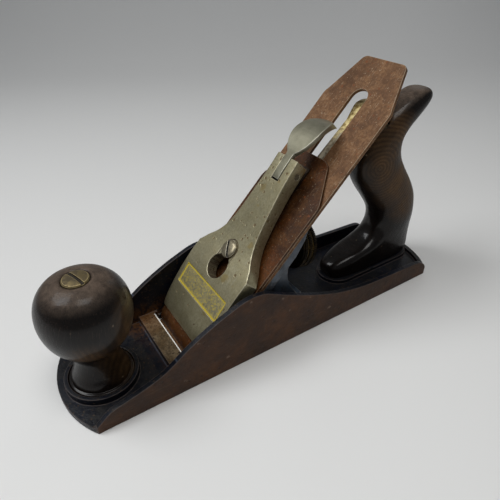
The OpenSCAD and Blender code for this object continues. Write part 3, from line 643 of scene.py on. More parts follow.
# %% [markdown]
# ## Rust on the irons
# The cutter and the cap iron are thin steel plates, brown all over with a skin of dry rust. Seen
# close it isn't one brown: it is orange grains, grey flecks where the steel shows, and darker
# stains that follow the plate. The cap iron lies under the lever cap, where damp stays longer,
# so it is redder and has a few wet-looking spots. No single pattern looks like rust. Six of
# them, from 30 mm clouds down to 1 mm flecks, are laid over each other, and both irons share
# the function with their own tones.

# %% Rusted plates
def rusted_plate(name, dark, middle_tone, light, flake, gloss, seed):
    """Four tones of dry rust. Gloss is the roughness of its smoothest spots."""
    material, tree, shader, vector = start_finish(name, bed)
    broad = use_group(tree, patches, vector=vector, size=0.03, cover=0.5, softness=0.2,
                      seed=seed)
    mottle = use_group(tree, patches, vector=vector, size=0.007, cover=0.5, softness=0.1,
                       seed=seed + 1)
    grain = use_group(tree, patches, vector=vector, size=0.0013, cover=0.5, softness=0.12,
                      seed=seed + 2)
    dots = use_group(tree, specks, vector=vector, size=0.0024, cover=0.3, seed=seed + 3)
    flecks = use_group(tree, patches, vector=vector, size=0.0009, cover=0.26, softness=0.03,
                       seed=seed + 4)
    lines = use_group(tree, scratches, vector=vector, width=0.0004, length=0.007, cover=0.3,
                      seed=seed + 5)
    edge = use_group(tree, rubbed, vector=vector, size=0.004, cover=0.7)
    tone = blend(tree, broad["Mask"], dark, middle_tone)
    tone = layer(tree, tone, mottle["Mask"], 0.6, light)
    tone = layer(tree, tone, grain["Mask"], 0.6, dark)
    tone = layer(tree, tone, dots["Mask"], 0.6, colour(120, 66, 32))
    tone = layer(tree, tone, lines["Mask"], 0.3, flake)
    tone = layer(tree, tone, flecks["Mask"], 0.6, flake)
    tone = layer(tree, tone, edge["Mask"], 0.5, flake)
    rough = stretch(tree, mottle["Cloud"], 0.35, 0.65, gloss, gloss + 0.2)
    height = calc(tree, "MULTIPLY_ADD", mottle["Cloud"], 2.0, grain["Cloud"])
    height = calc(tree, "ADD", height, calc(tree, "MULTIPLY", dots["Mask"], 0.4))
    wire(tree, shader, base_color=tone, metallic=0.1, roughness=rough,
         normal=relief(tree, height, 0.12 * MM), specular_ior_level=0.22)
    return material


keep("rusted_steel", rusted_plate(
    "rusted_steel", colour(82, 55, 34), colour(124, 90, 62), colour(146, 110, 78),
    colour(190, 172, 146), gloss=0.5, seed=0.0))
keep("rusted_cap_iron", rusted_plate(
    "rusted_cap_iron", colour(48, 27, 11), colour(92, 50, 17), colour(96, 60, 25),
    colour(150, 132, 110), gloss=0.38, seed=20.0))

# %% [markdown]
# ## Dull nickel on the lever cap
# Nickel plate goes grey and greenish, and where it has failed there are pin-head pits with
# yellow stains. The sunk panel near the lower edge keeps what is left of its yellow paint, most
# of it along the border, where nothing rubs. The place of the panel is known in coordinates
# along the bed, so its paint is a mask between limits, and no picture is needed. The panel is
# plain: this tool carries no name.

# %% Paint in the sunk panel
panel_from, panel_to, panel_half = 30 * MM, 42.4 * MM, 21.6 * MM
panel_rim = 1.1 * MM


def in_panel(tree, at, inset, soft):
    """Where the sunk panel lies, drawn in from its border by an inset."""
    reach = panel_half - inset
    return both(tree, between(tree, at["X"], panel_from + inset, panel_to - inset, soft),
                stretch(tree, calc(tree, "ABSOLUTE", at["Y"]), reach - soft, reach + soft, 1, 0))


def panel_paint(tree, vector, at, grain):
    """What is left of the yellow paint: most of it along the border, a stipple inside."""
    core = in_panel(tree, at, panel_rim, 0.3 * MM)
    border = calc(tree, "SUBTRACT", in_panel(tree, at, 0, 0.1 * MM), core)
    broken = use_group(tree, patches, vector=vector, size=0.003, cover=0.72, softness=0.06,
                       seed=8.0)
    stipple = calc(tree, "MULTIPLY", grain["Mask"], 0.7)
    return calc(tree, "ADD", both(tree, border, broken["Mask"]), both(tree, core, stipple))

# %% Lever cap finish
def lever_cap_finish():
    """Greyed nickel, pitted and stained more towards its upper end."""
    material, tree, shader, vector = start_finish("dull_nickel", bed)
    at = place(tree, "SeparateXYZ", {"Vector": vector}).outputs
    cloud = use_group(tree, patches, vector=vector, size=0.018, cover=0.5, softness=0.22)
    haze = use_group(tree, patches, vector=vector, size=0.004, cover=0.45, softness=0.16,
                     seed=2.0)
    failed = stretch(tree, at["X"], 40 * MM, 90 * MM, 0.1, 0.5)
    pits = use_group(tree, specks, vector=vector, size=0.0024, cover=failed, seed=3.0)
    stain = use_group(tree, specks, vector=vector, size=0.007, cover=failed, seed=3.0)
    lines = use_group(tree, scratches, vector=vector, width=0.0003, length=0.016, cover=0.4,
                      seed=5.0)
    edge = use_group(tree, rubbed, vector=vector, size=0.006, cover=0.7)
    grain = use_group(tree, patches, vector=vector, size=0.001, cover=0.45, softness=0.1,
                      seed=9.0)
    tone = blend(tree, cloud["Mask"], colour(162, 154, 122), colour(184, 177, 146))
    tone = layer(tree, tone, haze["Mask"], 0.35, colour(122, 112, 78))
    tone = layer(tree, tone, grain["Mask"], 0.4, colour(120, 111, 84))
    tone = layer(tree, tone, stain["Mask"], 0.45, colour(150, 126, 62))
    tone = layer(tree, tone, lines["Mask"], 0.2, colour(200, 198, 184))
    tone = layer(tree, tone, pits["Mask"], 0.85, colour(84, 64, 28))
    tone = layer(tree, tone, edge["Mask"], 0.5, colour(190, 184, 160))
    # Painted shade: faces shut in are darkened to a dark brown.
    painted_shade = use_group(tree, hollow_shade, vector=vector, start=0.26)["Mask"]
    tone = layer(tree, tone, painted_shade, 0.9, colour(58, 38, 22))
    paint = panel_paint(tree, vector, at, grain)
    tone = blend(tree, paint, tone, colour(180, 160, 44))
    dull = calc(tree, "MAXIMUM", paint, calc(tree, "MULTIPLY", pits["Mask"], 0.7))
    dull = calc(tree, "MAXIMUM", dull, painted_shade)
    rough = calc(tree, "MULTIPLY_ADD", haze["Cloud"], 0.3, 0.22)
    height = calc(tree, "SUBTRACT", haze["Cloud"], calc(tree, "MULTIPLY", pits["Mask"], 1.5))
    wire(tree, shader, base_color=tone, metallic=stretch(tree, dull, 0, 1, 0.8, 0.0),
         roughness=calc(tree, "MULTIPLY_ADD", dull, 0.3, rough),
         normal=relief(tree, height, 0.08 * MM))
    return material


keep("dull_nickel", lever_cap_finish())

# %% [markdown]
# ## The two levers
# The cam lever locks the lever cap, and the side lever tilts the cutter. Both are plated and
# both are touched all day, but they aged apart: the one is pale with fine scratches, the other
# is golden where the plate still holds and grey where the irons rubbed it off. They start from
# the same groups with other numbers, and only the side lever needs a border along its length.

# %% Cam lever finish
def satin_nickel_finish():
    """Pale plate with fine scratches, a few pits, and painted shade where it lies shut in."""
    material, tree, shader, vector = start_finish("satin_nickel", bed)
    cloud = use_group(tree, patches, vector=vector, size=0.008, cover=0.5, softness=0.22)
    pits = use_group(tree, specks, vector=vector, size=0.003, cover=0.12, seed=4.0)
    lines = use_group(tree, scratches, vector=vector, width=0.00022, length=0.009, cover=0.45,
                      seed=5.0)
    edge = use_group(tree, rubbed, vector=vector, size=0.004, cover=0.8)
    tone = blend(tree, cloud["Mask"], colour(128, 125, 106), colour(154, 151, 132))
    tone = layer(tree, tone, lines["Mask"], 0.35, colour(122, 118, 98))
    tone = layer(tree, tone, pits["Mask"], 0.6, colour(90, 78, 52))
    tone = layer(tree, tone, edge["Mask"], 0.5, colour(196, 194, 180))
    # Painted shade: faces shut in are darkened to a dull brown.
    painted_shade = use_group(tree, hollow_shade, vector=vector)["Mask"]
    tone = layer(tree, tone, painted_shade, 0.85, colour(70, 58, 40))
    wire(tree, shader, base_color=tone, metallic=0.75,
         roughness=calc(tree, "MULTIPLY_ADD", cloud["Cloud"], 0.3, 0.24),
         normal=relief(tree, lines["Line"], 0.04 * MM))
    return material


keep("satin_nickel", satin_nickel_finish())

# %% Side lever finish
worn_from, worn_to = 162 * MM, 170 * MM


def plated_lever_finish():
    """Golden and speckled above, worn to grey steel below."""
    material, tree, shader, vector = start_finish("plated_lever", bed)
    along = place(tree, "SeparateXYZ", {"Vector": vector}).outputs["X"]
    grain = use_group(tree, patches, vector=vector, size=0.0026, cover=0.5, softness=0.08)
    dots = use_group(tree, specks, vector=vector, size=0.002, cover=0.4, seed=4.0)
    gold = blend(tree, grain["Mask"], colour(150, 128, 72), colour(216, 200, 146))
    gold = layer(tree, gold, dots["Mask"], 0.7, colour(108, 82, 42))
    steel = blend(tree, grain["Mask"], colour(146, 138, 118), colour(112, 100, 80))
    worn = stretch(tree, calc(tree, "MULTIPLY_ADD", grain["Cloud"], 0.03, along),
                   worn_from, worn_to)
    wire(tree, shader, base_color=blend(tree, worn, steel, gold), metallic=0.6,
         roughness=stretch(tree, grain["Cloud"], 0.3, 0.7, 0.4, 0.6),
         normal=relief(tree, grain["Cloud"], 0.08 * MM))
    return material


keep("plated_lever", plated_lever_finish())

# %% [markdown]
# ## Dark hardwood
# Knob and handle are a dense dark hardwood under shellac that has gone nearly black. Light
# catches the polish, not the wood. Only where hands wore it thin does a red-brown show, with fine
# growth lines. The rings are circles about an axis that lies outside the piece, bent by noise, so
# they cross the surface as long curves, as they do on sawn timber.
# The pale grey on the faces that look up is painted sheen, the light from above on the polish.

# %% Timber rings
bend_scale, bend_width = 14.0, 0.02
timber, given, out = new_group(
    "timber",
    [("Vector", "Vector", None), ("Ring", "Float", 0.0012), ("Seed", "Float", 0.0)],
    [("Rings", "Float"), ("Fibre", "Float")])
bend = place(timber, "TexNoise", {"Vector": given["Vector"], "W": given["Seed"],
                                  "Scale": bend_scale, "Detail": 3.0}, noise_dimensions="4D")
shift = calc(timber, "MULTIPLY", bend.outputs["Fac"], bend_width)
parts = place(timber, "SeparateXYZ", {"Vector": given["Vector"]})
flat = place(timber, "CombineXYZ", {"X": 0.0, "Y": parts.outputs["Y"], "Z": parts.outputs["Z"]})
reach = place(timber, "VectorMath", {0: flat.outputs[0]}, operation="LENGTH")
path = calc(timber, "DIVIDE", calc(timber, "ADD", reach.outputs["Value"], shift),
            given["Ring"])
wave = calc(timber, "SINE", calc(timber, "MULTIPLY", path, 2 * math.pi))
timber.links.new(stretch(timber, wave, -1, 1), out["Rings"])
strands = use_group(timber, scratches, vector=given["Vector"], width=0.0004, length=0.012,
                    cover=0.5, seed=given["Seed"])
timber.links.new(strands["Line"], out["Fibre"])
print(timber.name, len(timber.nodes), "nodes")

# %% Where hands wore the polish thin
def worn_thin(tree, at, cloud, worn_spots):
    """Worn spots are places on the left, with a radius and a strength. The right side is worn
    alike, so every point is read as if it lay on the left."""
    left = calc(tree, "MULTIPLY", calc(tree, "ABSOLUTE", at["Y"]), -1.0)
    mirrored = place(tree, "CombineXYZ", {"X": at["X"], "Y": left, "Z": at["Z"]}).outputs[0]
    thin = None
    for spot, radius, strength in worn_spots:
        away = place(tree, "VectorMath", {0: mirrored, 1: spot}, operation="DISTANCE")
        near = stretch(tree, away.outputs["Value"], radius, radius * 0.4, 0, strength)
        thin = near if thin is None else calc(tree, "MAXIMUM", thin, near)
    return calc(tree, "MULTIPLY", thin, stretch(tree, cloud, 0.35, 0.6, 0.4, 1))


def top_sheen_mask(tree, at, upward, cloud):
    """Painted sheen: a pale grey on faces that look up, from halfway up, as light from above lies
    on the polish.
    """
    return both(tree, stretch(tree, upward, 0.55, 0.98),
                stretch(tree, cloud, 0.35, 0.65, 0.4, 0.95),
                stretch(tree, at["Z"], 40 * MM, 60 * MM))

# %% Wood finish
def wood_finish(name, lie, worn_spots):
    """Nearly black shellac over ringed wood, thin on the worn spots, with a painted grey sheen on
    top.
    """
    material, tree, shader, vector = start_finish(name, lie)
    corner = place(tree, "TexCoord").outputs
    here = corner["Object"]
    at = place(tree, "SeparateXYZ", {"Vector": here}).outputs
    upward = place(tree, "SeparateXYZ", {"Vector": corner["Normal"]}).outputs["Z"]
    rings = use_group(tree, timber, vector=vector, ring=0.0022, seed=1.0)
    blotch = use_group(tree, patches, vector=here, size=0.014, cover=0.5, softness=0.18)
    fine = use_group(tree, patches, vector=here, size=0.003, cover=0.5, softness=0.2, seed=3.0)
    pores = use_group(tree, scratches, vector=vector, width=0.0003, length=0.006, cover=0.45,
                      seed=4.0)
    nicks = use_group(tree, specks, vector=here, size=0.002, cover=0.014, seed=5.0)
    rubs = use_group(tree, scratches, vector=vector, width=0.0006, length=0.016, cover=0.34,
                     seed=9.0)
    tone = blend(tree, blotch["Mask"], colour(10, 8, 7), colour(22, 15, 12))
    tone = layer(tree, tone, rings["Rings"], 0.4, colour(8, 6, 5))
    tone = blend(tree, stretch(tree, rings["Fibre"], 0.45, 0.7, 0, 0.3), tone,
                 colour(40, 28, 21))
    thin = worn_thin(tree, at, blotch["Cloud"], worn_spots)
    warm = blend(tree, rings["Rings"], colour(110, 83, 54), colour(86, 63, 40))
    warm = layer(tree, warm, pores["Mask"], 0.6, colour(30, 21, 15))
    tone = blend(tree, thin, tone, warm)
    # Painted sheen: faces that look up are laid over with a pale grey, as the light from above
    # would make them.
    top_sheen = top_sheen_mask(tree, at, upward, fine["Cloud"])
    tone = blend(tree, top_sheen, tone, blend(tree, rings["Fibre"], colour(66, 54, 46),
                                         colour(124, 108, 94)))
    tone = layer(tree, tone, pores["Mask"], 0.35, colour(16, 12, 10))
    tone = layer(tree, tone, rubs["Mask"], 0.3, colour(72, 58, 48))
    tone = layer(tree, tone, nicks["Mask"], 0.6, colour(128, 112, 92))
    height = calc(tree, "MULTIPLY_ADD", rings["Fibre"], 0.8, fine["Cloud"])
    height = calc(tree, "SUBTRACT", height, calc(tree, "MULTIPLY", pores["Mask"], 0.5))
    dull = calc(tree, "MAXIMUM", thin, top_sheen)
    wire(tree, shader, base_color=tone, coat_weight=stretch(tree, dull, 0, 0.7, 0.34, 0.08),
         coat_roughness=0.13, roughness=stretch(tree, dull, 0, 0.8, 0.4, 0.56),
         normal=relief(tree, height, 0.09 * MM), specular_ior_level=0.1)
    return material

# %% Wood for the knob and the handle
knob_low, knob_high = (Vector(v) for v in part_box("knob"))
knob_axis = (knob_low + knob_high) / 2

# How each piece lay in its plank: the axis of the growth rings and the way the grain runs.
knob_lie = (Matrix.Translation((knob_axis.x - 0.05, 0.03, knob_low.z))
            @ Matrix.Rotation(math.radians(-78), 4, "Y"))
tote_lie = (Matrix.Translation((0.0775, 0, 0.079))
            @ Matrix.Rotation(math.radians(86), 4, "Z") @ Matrix.Rotation(0.1, 4, "Y"))

# Each worn spot: a place on the left side, its radius, and how thin the polish is there.
keep("knob_hardwood", wood_finish("knob_hardwood", knob_lie, [
    (Vector((knob_axis.x + 0.02, -0.013, 0.044)), 0.02, 0.6),
    (Vector((knob_axis.x - 0.006, -0.02, 0.036)), 0.013, 0.45),
    (Vector((knob_axis.x + 0.012, -0.007, 0.021)), 0.018, 0.7)]))
keep("handle_hardwood", wood_finish("handle_hardwood", tote_lie, [
    (Vector((0.084, -0.012, 0.094)), 0.022, 0.9),
    (Vector((0.08, -0.012, 0.078)), 0.017, 0.75),
    (Vector((0.097, -0.012, 0.066)), 0.022, 0.95),
    (Vector((0.106, -0.01, 0.05)), 0.018, 0.7)]))

# %% [markdown]
# ## Rounding what a machine left sharp
# The CAD pieces have perfect edges, and a perfect edge catches no light. On iron that has been
# used, each edge is a small round, brighter than the faces beside it. A copy of each CAD mesh is
# merged, its flat faces are joined, its sharp edges are bevelled, and the new faces get the mark
# that the rubbed-edge group reads. On the pieces with slots and holes, a fan of short rays from
# every face finds out how shut in it is, and that becomes the mark for painted shade. Normals are
# then weighted by area, so a large flat face stays flat right up to its rounded border.

# %% Area normals
def area_normals(mesh):
    """Vertex normals weighted by the area of the faces round them."""
    total = [Vector() for vertex in mesh.vertices]
    for face in mesh.polygons:
        push = face.normal * face.area
        for index in face.vertices:
            total[index] += push
    mesh.normals_split_custom_set_from_vertices([tuple(v.normalized()) for v in total])

# %% Putting a piece in the scene
def put_in_scene(name, mesh, node, body, finish):
    """A finished piece: the node it stands for, the body it rides on and finish."""
    mesh.materials.clear()
    mesh.materials.append(finishes[finish])
    piece = bpy.data.objects.new(name, mesh)
    bpy.context.collection.objects.link(piece)
    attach(piece, body)
    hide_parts(node)
    print("%-16s %6d faces" % (name, len(mesh.polygons)))


def merged_copy(node):
    """A CAD mesh is loose triangles. This is a copy with its doubles merged."""
    net = bmesh.new()
    net.from_mesh(frame["nodes"][node].data)
    bmesh.ops.remove_doubles(net, verts=net.verts[:], dist=0.002 * MM)
    return net

# %% Marking what is shut in
ray_count = 48
golden_angle = 2.399963
start_gap = 0.02 * MM
least_lean = 0.1
ray_fan = []
for i in range(ray_count):
    height = 1 - 2 * (i + 0.5) / ray_count
    flat = math.sqrt(1 - height * height)
    angle = i * golden_angle
    ray_fan.append(Vector((flat * math.cos(angle), flat * math.sin(angle), height)))
print("rays to every side:", len(ray_fan))


def mark_hollows(net, reach):
    """Marks how shut in each face is: the share of rays that meet the piece again nearby."""
    walls = BVHTree.FromBMesh(net)
    mark = net.faces.layers.float.new("hollow")
    for face in net.faces:
        start = face.calc_center_median() + face.normal * start_gap
        outward = [ray for ray in ray_fan if ray.dot(face.normal) > least_lean]
        blocked = [ray for ray in outward if walls.ray_cast(start, ray, reach)[0] is not None]
        face[mark] = len(blocked) / len(outward)

# %% Softened copies
def softened(node, width, reach, sharp=30, steps=2):
    """A merged copy of a CAD node with bevelled edges, and a mark on the bevels. With a reach,
    it also gets the mark for painted shade in its hollows."""
    net = merged_copy(node)
    bmesh.ops.dissolve_limit(net, angle_limit=math.radians(1), verts=net.verts[:],
                             edges=net.edges[:])
    mark = net.faces.layers.float.new("rub")
    edges = [e for e in net.edges
             if len(e.link_faces) == 2 and e.calc_face_angle(0) > math.radians(sharp)]
    rounded = bmesh.ops.bevel(net, geom=edges, offset=width, offset_type="OFFSET",
                              segments=steps, profile=0.5, affect="EDGES",
                              clamp_overlap=False)
    for face in rounded["faces"]:
        face[mark] = 1
    bmesh.ops.triangulate(net, faces=net.faces[:])
    bmesh.ops.remove_doubles(net, verts=net.verts[:], dist=0.001 * MM)
    if reach:
        mark_hollows(net, reach)
    mesh = bpy.data.meshes.new(node + "_soft")
    net.to_mesh(mesh)
    net.free()
    mesh.shade_smooth()
    area_normals(mesh)
    return mesh

# %% The softened pieces
soft_pieces = [
    # node, piece, body, slot and finish, round in mm, reach of the rays in mm
    ("plane_body", "cast_body", "casting", "japanned_casting", 0.35, 0),
    ("frog", "frog_casting", "frog", "frog_paint", 0.3, 0),
    ("lever_cap", "lever_cap_plate", "lever_cap", "dull_nickel", 0.4, 13),
    ("cutter", "cutter_blade", "cutter_pack", "rusted_steel", 0.25, 0),
    ("cap_iron", "chip_breaker", "cutter_pack", "rusted_cap_iron", 0.22, 0),
    ("cap_cam_lever", "cam_lever_pad", "cam_lever", "satin_nickel", 0.4, 4),
    ("lever_cap_screw", "cap_screw", "frog", "dull_nickel_screw", 0.2, 3),
    ("lateral_lever", "side_lever", "lateral_lever", "plated_lever", 0.2, 0),
    ("knob_nut", "knob_cap_nut", "casting", "brass_nut", 0.2, 3),
    ("tote_nut", "handle_cap_nut", "casting", "brass_nut", 0.2, 3),
    ("depth_yoke", "adjusting_fork", "depth_yoke", "yoke_iron", 0.2, 0),
]
for node, name, body, slot, width, reach in soft_pieces:
    mesh = softened(node, width * MM, reach * MM)
    put_in_scene(name, mesh, node, body, finish=slot)

# %% [markdown]
# ## The front knob, turned
# A turner holds a blank between centres and cuts one profile, so the honest way to model the
# knob is the same: a side line swept round an axis. The line has the low ball, the narrow neck
# and, at the foot, the small bead and quirk that the flat of a skew chisel leaves. A short
# helper draws a smooth curve through the few points that matter, and another sweeps it.

# %% Turning helpers
def smooth_line(points, steps):
    """A curve that passes through the points without a corner, with steps between them."""
    line = []
    for i in range(len(points) - 1):
        a, b, c, d = (Vector(points[max(0, min(len(points) - 1, i + k))]) for k in (-1, 0, 1, 2))
        for step in range(steps):
            t = step / steps
            line.append(0.5 * (2 * b + (c - a) * t + (2 * a - 5 * b + 4 * c - d) * t * t
                               + (3 * b - a - 3 * c + d) * t ** 3))
    return line + [Vector(points[-1])]


def turned(line, lie, steps=96):
    """Sweeps a closed side line of radius and height round z, then lays it in place."""
    net = bmesh.new()
    rings = []
    for step in range(steps):
        angle = 2 * math.pi * step / steps
        rings.append([net.verts.new((r * math.cos(angle), r * math.sin(angle), h))
                      for r, h in line])
    for one, two in zip(rings, rings[1:] + rings[:1]):
        for i in range(len(line)):
            j = (i + 1) % len(line)
            net.faces.new((one[i], two[i], two[j], one[j]))
    bmesh.ops.remove_doubles(net, verts=net.verts[:], dist=0.001 * MM)
    bmesh.ops.recalc_face_normals(net, faces=net.faces[:])
    bmesh.ops.transform(net, matrix=lie, verts=net.verts[:])
    mesh = bpy.data.meshes.new("turned")
    net.to_mesh(mesh)
    net.free()
    mesh.shade_smooth()
    return mesh

# %% Front knob
knob_top = knob_high.z
ball = (knob_high.x - knob_low.x) / 2
foot = knob_low.z
knob_side = smooth_line([
    (16.2 * MM, foot), (16.9 * MM, foot + 0.7 * MM), (17 * MM, foot + 1.7 * MM),
    (16.5 * MM, foot + 2.6 * MM), (15.3 * MM, foot + 3 * MM), (15.2 * MM, foot + 3.7 * MM),
    (14.6 * MM, foot + 6 * MM), (12.9 * MM, foot + 10 * MM), (11.6 * MM, foot + 15 * MM),
    (11.5 * MM, foot + 19.6 * MM), (13.4 * MM, foot + 24 * MM),
    (ball * 0.77, foot + 28.4 * MM), (ball * 0.905, foot + 33.6 * MM),
    (ball * 0.98, foot + 39.6 * MM), (ball, foot + 45.2 * MM), (ball * 0.965, foot + 51.2 * MM),
    (ball * 0.86, knob_top - 7.2 * MM), (ball * 0.69, knob_top - 3 * MM),
    (ball * 0.49, knob_top - 0.8 * MM), (8.3 * MM, knob_top)], steps=5)
bore, well, seat = 3.4 * MM, 4.75 * MM, 6.7 * MM
well_floor = knob_top - 14 * MM
seat_floor = knob_top - 1.58 * MM
knob_line = list(knob_side)
knob_line += [(seat, knob_top - 0.3 * MM), (seat, seat_floor), (well, seat_floor),
              (well, well_floor), (bore, well_floor), (bore, foot)]
knob_mesh = turned(knob_line, Matrix.Translation((knob_axis.x, 0, 0)))
put_in_scene("front_knob", knob_mesh, node="knob", body="casting",
             finish="knob_hardwood")
print("ball: %.1f mm across" % (2 * ball / MM))

# %% [markdown]
# ## The rear handle, carved
# The handle was sawn from a board and then rounded by hand with rasp and scraper, so it has no
# straight line and no sharp edge. The CAD solid has the right outline in coarse facets. A voxel
# remesh turns a copy of it into an even skin of small quads, and a smoothing pass then does what
# the scraper did: it takes the facets out and leaves the form.

# %% Carved skin
def carved(node, grain, passes):
    """A remeshed and smoothed copy of a CAD node."""
    net = merged_copy(node)
    mesh = bpy.data.meshes.new(node + "_rough")
    net.to_mesh(mesh)
    net.free()
    rough = bpy.data.objects.new(node + "_rough", mesh)
    bpy.context.collection.objects.link(rough)
    skin = rough.modifiers.new("skin", "REMESH")
    skin.mode = "VOXEL"
    skin.voxel_size = grain
    scrape = rough.modifiers.new("scrape", "SMOOTH")
    scrape.factor = 0.5
    scrape.iterations = passes
    bpy.context.view_layer.update()
    graph = bpy.context.evaluated_depsgraph_get()
    done = bpy.data.meshes.new_from_object(rough.evaluated_get(graph))
    bpy.data.objects.remove(rough)
    done.shade_smooth()
    return done


handle_mesh = carved("tote", grain=0.7 * MM, passes=8)
put_in_scene("rear_handle", handle_mesh, node="tote", body="casting",
             finish="handle_hardwood")

# %% [markdown]
# ## The knurled wheel
# The thumb turns the depth wheel by its rim, so the rim is knurled: three bands of fine ridges
# with bright grooves between them. Ridges repeat, so Geometry Nodes place them. A circle of
# points carries one small bar on its edge, a line of points carries that ring once for each
# band, and Realize Instances turns the lot into real mesh, because the export drops instances.

# %% Knurl tree
def knurl_tree():
    """The tree, and the identifiers of its inputs, because a modifier doesn't go by names."""
    tree = bpy.data.node_groups.new("knurled_bands", "GeometryNodeTree")
    sockets = {}
    for name, kind in (("Radius", "Float"), ("Ridges", "Int"), ("Ridge", "Float"),
                       ("Band", "Float"), ("Bands", "Int"), ("Pitch", "Float"),
                       ("Finish", "Material")):
        made = tree.interface.new_socket(name, in_out="INPUT", socket_type="NodeSocket" + kind)
        sockets[name] = made.identifier
    tree.interface.new_socket("Geometry", in_out="OUTPUT", socket_type="NodeSocketGeometry")
    given = tree.nodes.new("NodeGroupInput").outputs
    out = tree.nodes.new("NodeGroupOutput").inputs

    def step(kind, inputs=None, **settings):
        return add_node(tree, kind, inputs, **settings).outputs

    size = step("ShaderNodeCombineXYZ", {"X": given["Ridge"], "Y": given["Ridge"],
                                         "Z": given["Band"]})["Vector"]
    bar = step("GeometryNodeMeshCube", {"Size": size})["Mesh"]
    bar = step("GeometryNodeTransform", {"Geometry": bar,
                                         "Rotation": (0, 0, math.pi / 4)})["Geometry"]
    circle = step("GeometryNodeMeshCircle", {"Vertices": given["Ridges"],
                                             "Radius": given["Radius"]})["Mesh"]
    spot = step("GeometryNodeInputPosition")["Position"]
    turn = step("FunctionNodeAlignRotationToVector", {"Vector": spot}, axis="X")["Rotation"]
    ring = step("GeometryNodeInstanceOnPoints", {"Points": circle, "Instance": bar,
                                                 "Rotation": turn})["Instances"]
    apart = step("ShaderNodeCombineXYZ", {"Z": given["Pitch"]})["Vector"]
    line = step("GeometryNodeMeshLine", {"Count": given["Bands"], "Offset": apart})["Mesh"]
    stack = step("GeometryNodeInstanceOnPoints", {"Points": line,
                                                  "Instance": ring})["Instances"]
    real = step("GeometryNodeRealizeInstances", {"Geometry": stack})["Geometry"]
    dressed = step("GeometryNodeSetMaterial", {"Geometry": real,
                                               "Material": given["Finish"]})["Geometry"]
    tree.links.new(dressed, out["Geometry"])
    return tree, sockets

# %% From a tree to a plain mesh
def grown(tree, sockets, values, lie):
    """Runs a Geometry Nodes tree and returns its result as a plain mesh, laid in place."""
    carrier = bpy.data.objects.new("carrier", bpy.data.meshes.new("carrier"))
    bpy.context.collection.objects.link(carrier)
    modifier = carrier.modifiers.new("grow", "NODES")
    modifier.node_group = tree
    for name, value in values.items():
        modifier[sockets[name]] = value
    bpy.context.view_layer.update()
    graph = bpy.context.evaluated_depsgraph_get()
    mesh = bpy.data.meshes.new_from_object(carrier.evaluated_get(graph))
    bpy.data.objects.remove(carrier)
    mesh.transform(lie)
    return mesh

# %% Wheel measures
wheel_tilt = math.radians(10)
wheel_centre = Vector(next(joint["pos_m"] for joint in frame["joints"]
                           if joint["name"] == "depth_wheel_turn"))
wheel_lie = (Matrix.Translation(wheel_centre)
             @ Matrix.Rotation(math.radians(90) + wheel_tilt, 4, "Y"))
rim, rim_from, rim_width = 15 * MM, 6 * MM, 9.5 * MM
rim_to = rim_from + rim_width
bands, ridge_count, ridge = 3, 84, 0.8 * MM
crest = ridge / math.sqrt(2)
pitch = rim_width / bands
print("wheel centre in mm:", [round(value / MM, 1) for value in wheel_centre])

# %% Wheel finish
def wheel_finish():
    """Brass gone black all over, bright only down in the grooves."""
    material, tree, shader, vector = start_finish("old_brass", wheel_lie)
    at = place(tree, "SeparateXYZ", {"Vector": vector}).outputs
    reach = calc(tree, "SQRT", calc(tree, "ADD", calc(tree, "MULTIPLY", at["X"], at["X"]),
                                    calc(tree, "MULTIPLY", at["Y"], at["Y"])))
    groove = both(tree, between(tree, at["Z"], rim_from + 1 * MM, rim_to - 1 * MM, 0.1 * MM),
                  stretch(tree, reach, rim - 1.25 * MM, rim - 0.95 * MM, 1, 0),
                  stretch(tree, reach, rim - 2.5 * MM, rim - 2.2 * MM))
    tarnish = use_group(tree, patches, vector=vector, size=0.004, cover=0.6, softness=0.15)
    tone = blend(tree, tarnish["Mask"], colour(70, 56, 32), colour(26, 21, 15))
    tone = layer(tree, tone, groove, 0.95, colour(206, 172, 104))
    wire(tree, shader, base_color=tone, metallic=stretch(tree, groove, 0, 1, 0.7, 0.25),
         roughness=stretch(tree, tarnish["Mask"], 0, 1, 0.35, 0.6),
         normal=relief(tree, tarnish["Cloud"], 0.08 * MM))
    return material


keep("old_brass", wheel_finish())

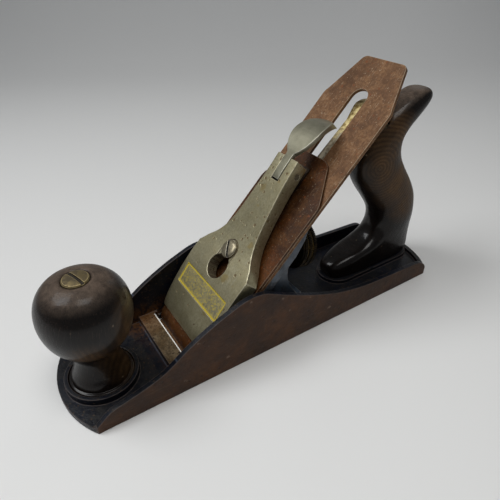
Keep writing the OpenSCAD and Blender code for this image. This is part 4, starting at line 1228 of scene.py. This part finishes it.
# %% Ridges
tree, sockets = knurl_tree()
ridges = grown(tree, sockets, {
    "Radius": rim - crest, "Ridges": ridge_count, "Ridge": ridge, "Band": pitch - 1.1 * MM,
    "Bands": bands, "Pitch": pitch, "Finish": finishes["old_brass"]},
    wheel_lie @ Matrix.Translation((0, 0, rim_from + pitch / 2)))
print("ridges:", ridge_count * bands, "with", len(ridges.polygons), "faces")

# %% Wheel
shaft, waist, hub, recess = 3.05 * MM, 5 * MM, 7.3 * MM, 1.4 * MM
neck, collar = 1.75 * MM, 3.2 * MM
floor_of_bands = rim - 1.05 * MM
wheel_line = [
    (shaft, -collar), (hub, -collar), (hub, -neck), (waist, -neck), (waist, neck), (hub, neck),
    (hub, rim_from), (rim - 1.6 * MM, rim_from), (floor_of_bands, rim_from + 0.5 * MM),
    (floor_of_bands, rim_to - 0.5 * MM), (rim - 1.6 * MM, rim_to), (rim - 2.6 * MM, rim_to),
    (rim - 3.4 * MM, rim_to - recess), (6.6 * MM, rim_to - recess), (6 * MM, rim_to),
    (shaft, rim_to)]
wheel_mesh = turned(wheel_line, wheel_lie)
joined = bmesh.new()
joined.from_mesh(wheel_mesh)
for face in joined.faces:
    face.smooth = False
joined.from_mesh(ridges)
joined.to_mesh(wheel_mesh)
joined.free()
put_in_scene("thumb_wheel", wheel_mesh, node="depth_wheel", body="depth_wheel",
             finish="old_brass")

# %% [markdown]
# ## What stays as the CAD made it
# The pins, rods and small screws inside have the right shape already, and little of them shows.
# They keep their CAD meshes and only get a finish, by setting the material of the slot they
# came with.

# %% Small CAD parts
small_parts = {
    "dark_steel": ["frog_screws", "frog_screw_washers", "frog_adjusting_screw", "frog_clip",
                   "frog_clip_screw", "depth_stud", "yoke_pin", "cap_spring",
                   "cap_spring_rivet", "cap_iron_screw", "knob_stud", "tote_rod"],
    "plated_lever": ["lateral_disc", "lateral_pivot"],
    "dull_nickel_screw": ["cam_pin"],
}
for finish, names in small_parts.items():
    for name in names:
        for holder in frame["nodes"][name].material_slots:
            holder.material = finishes[finish]
print("small parts:", sum(len(names) for names in small_parts.values()))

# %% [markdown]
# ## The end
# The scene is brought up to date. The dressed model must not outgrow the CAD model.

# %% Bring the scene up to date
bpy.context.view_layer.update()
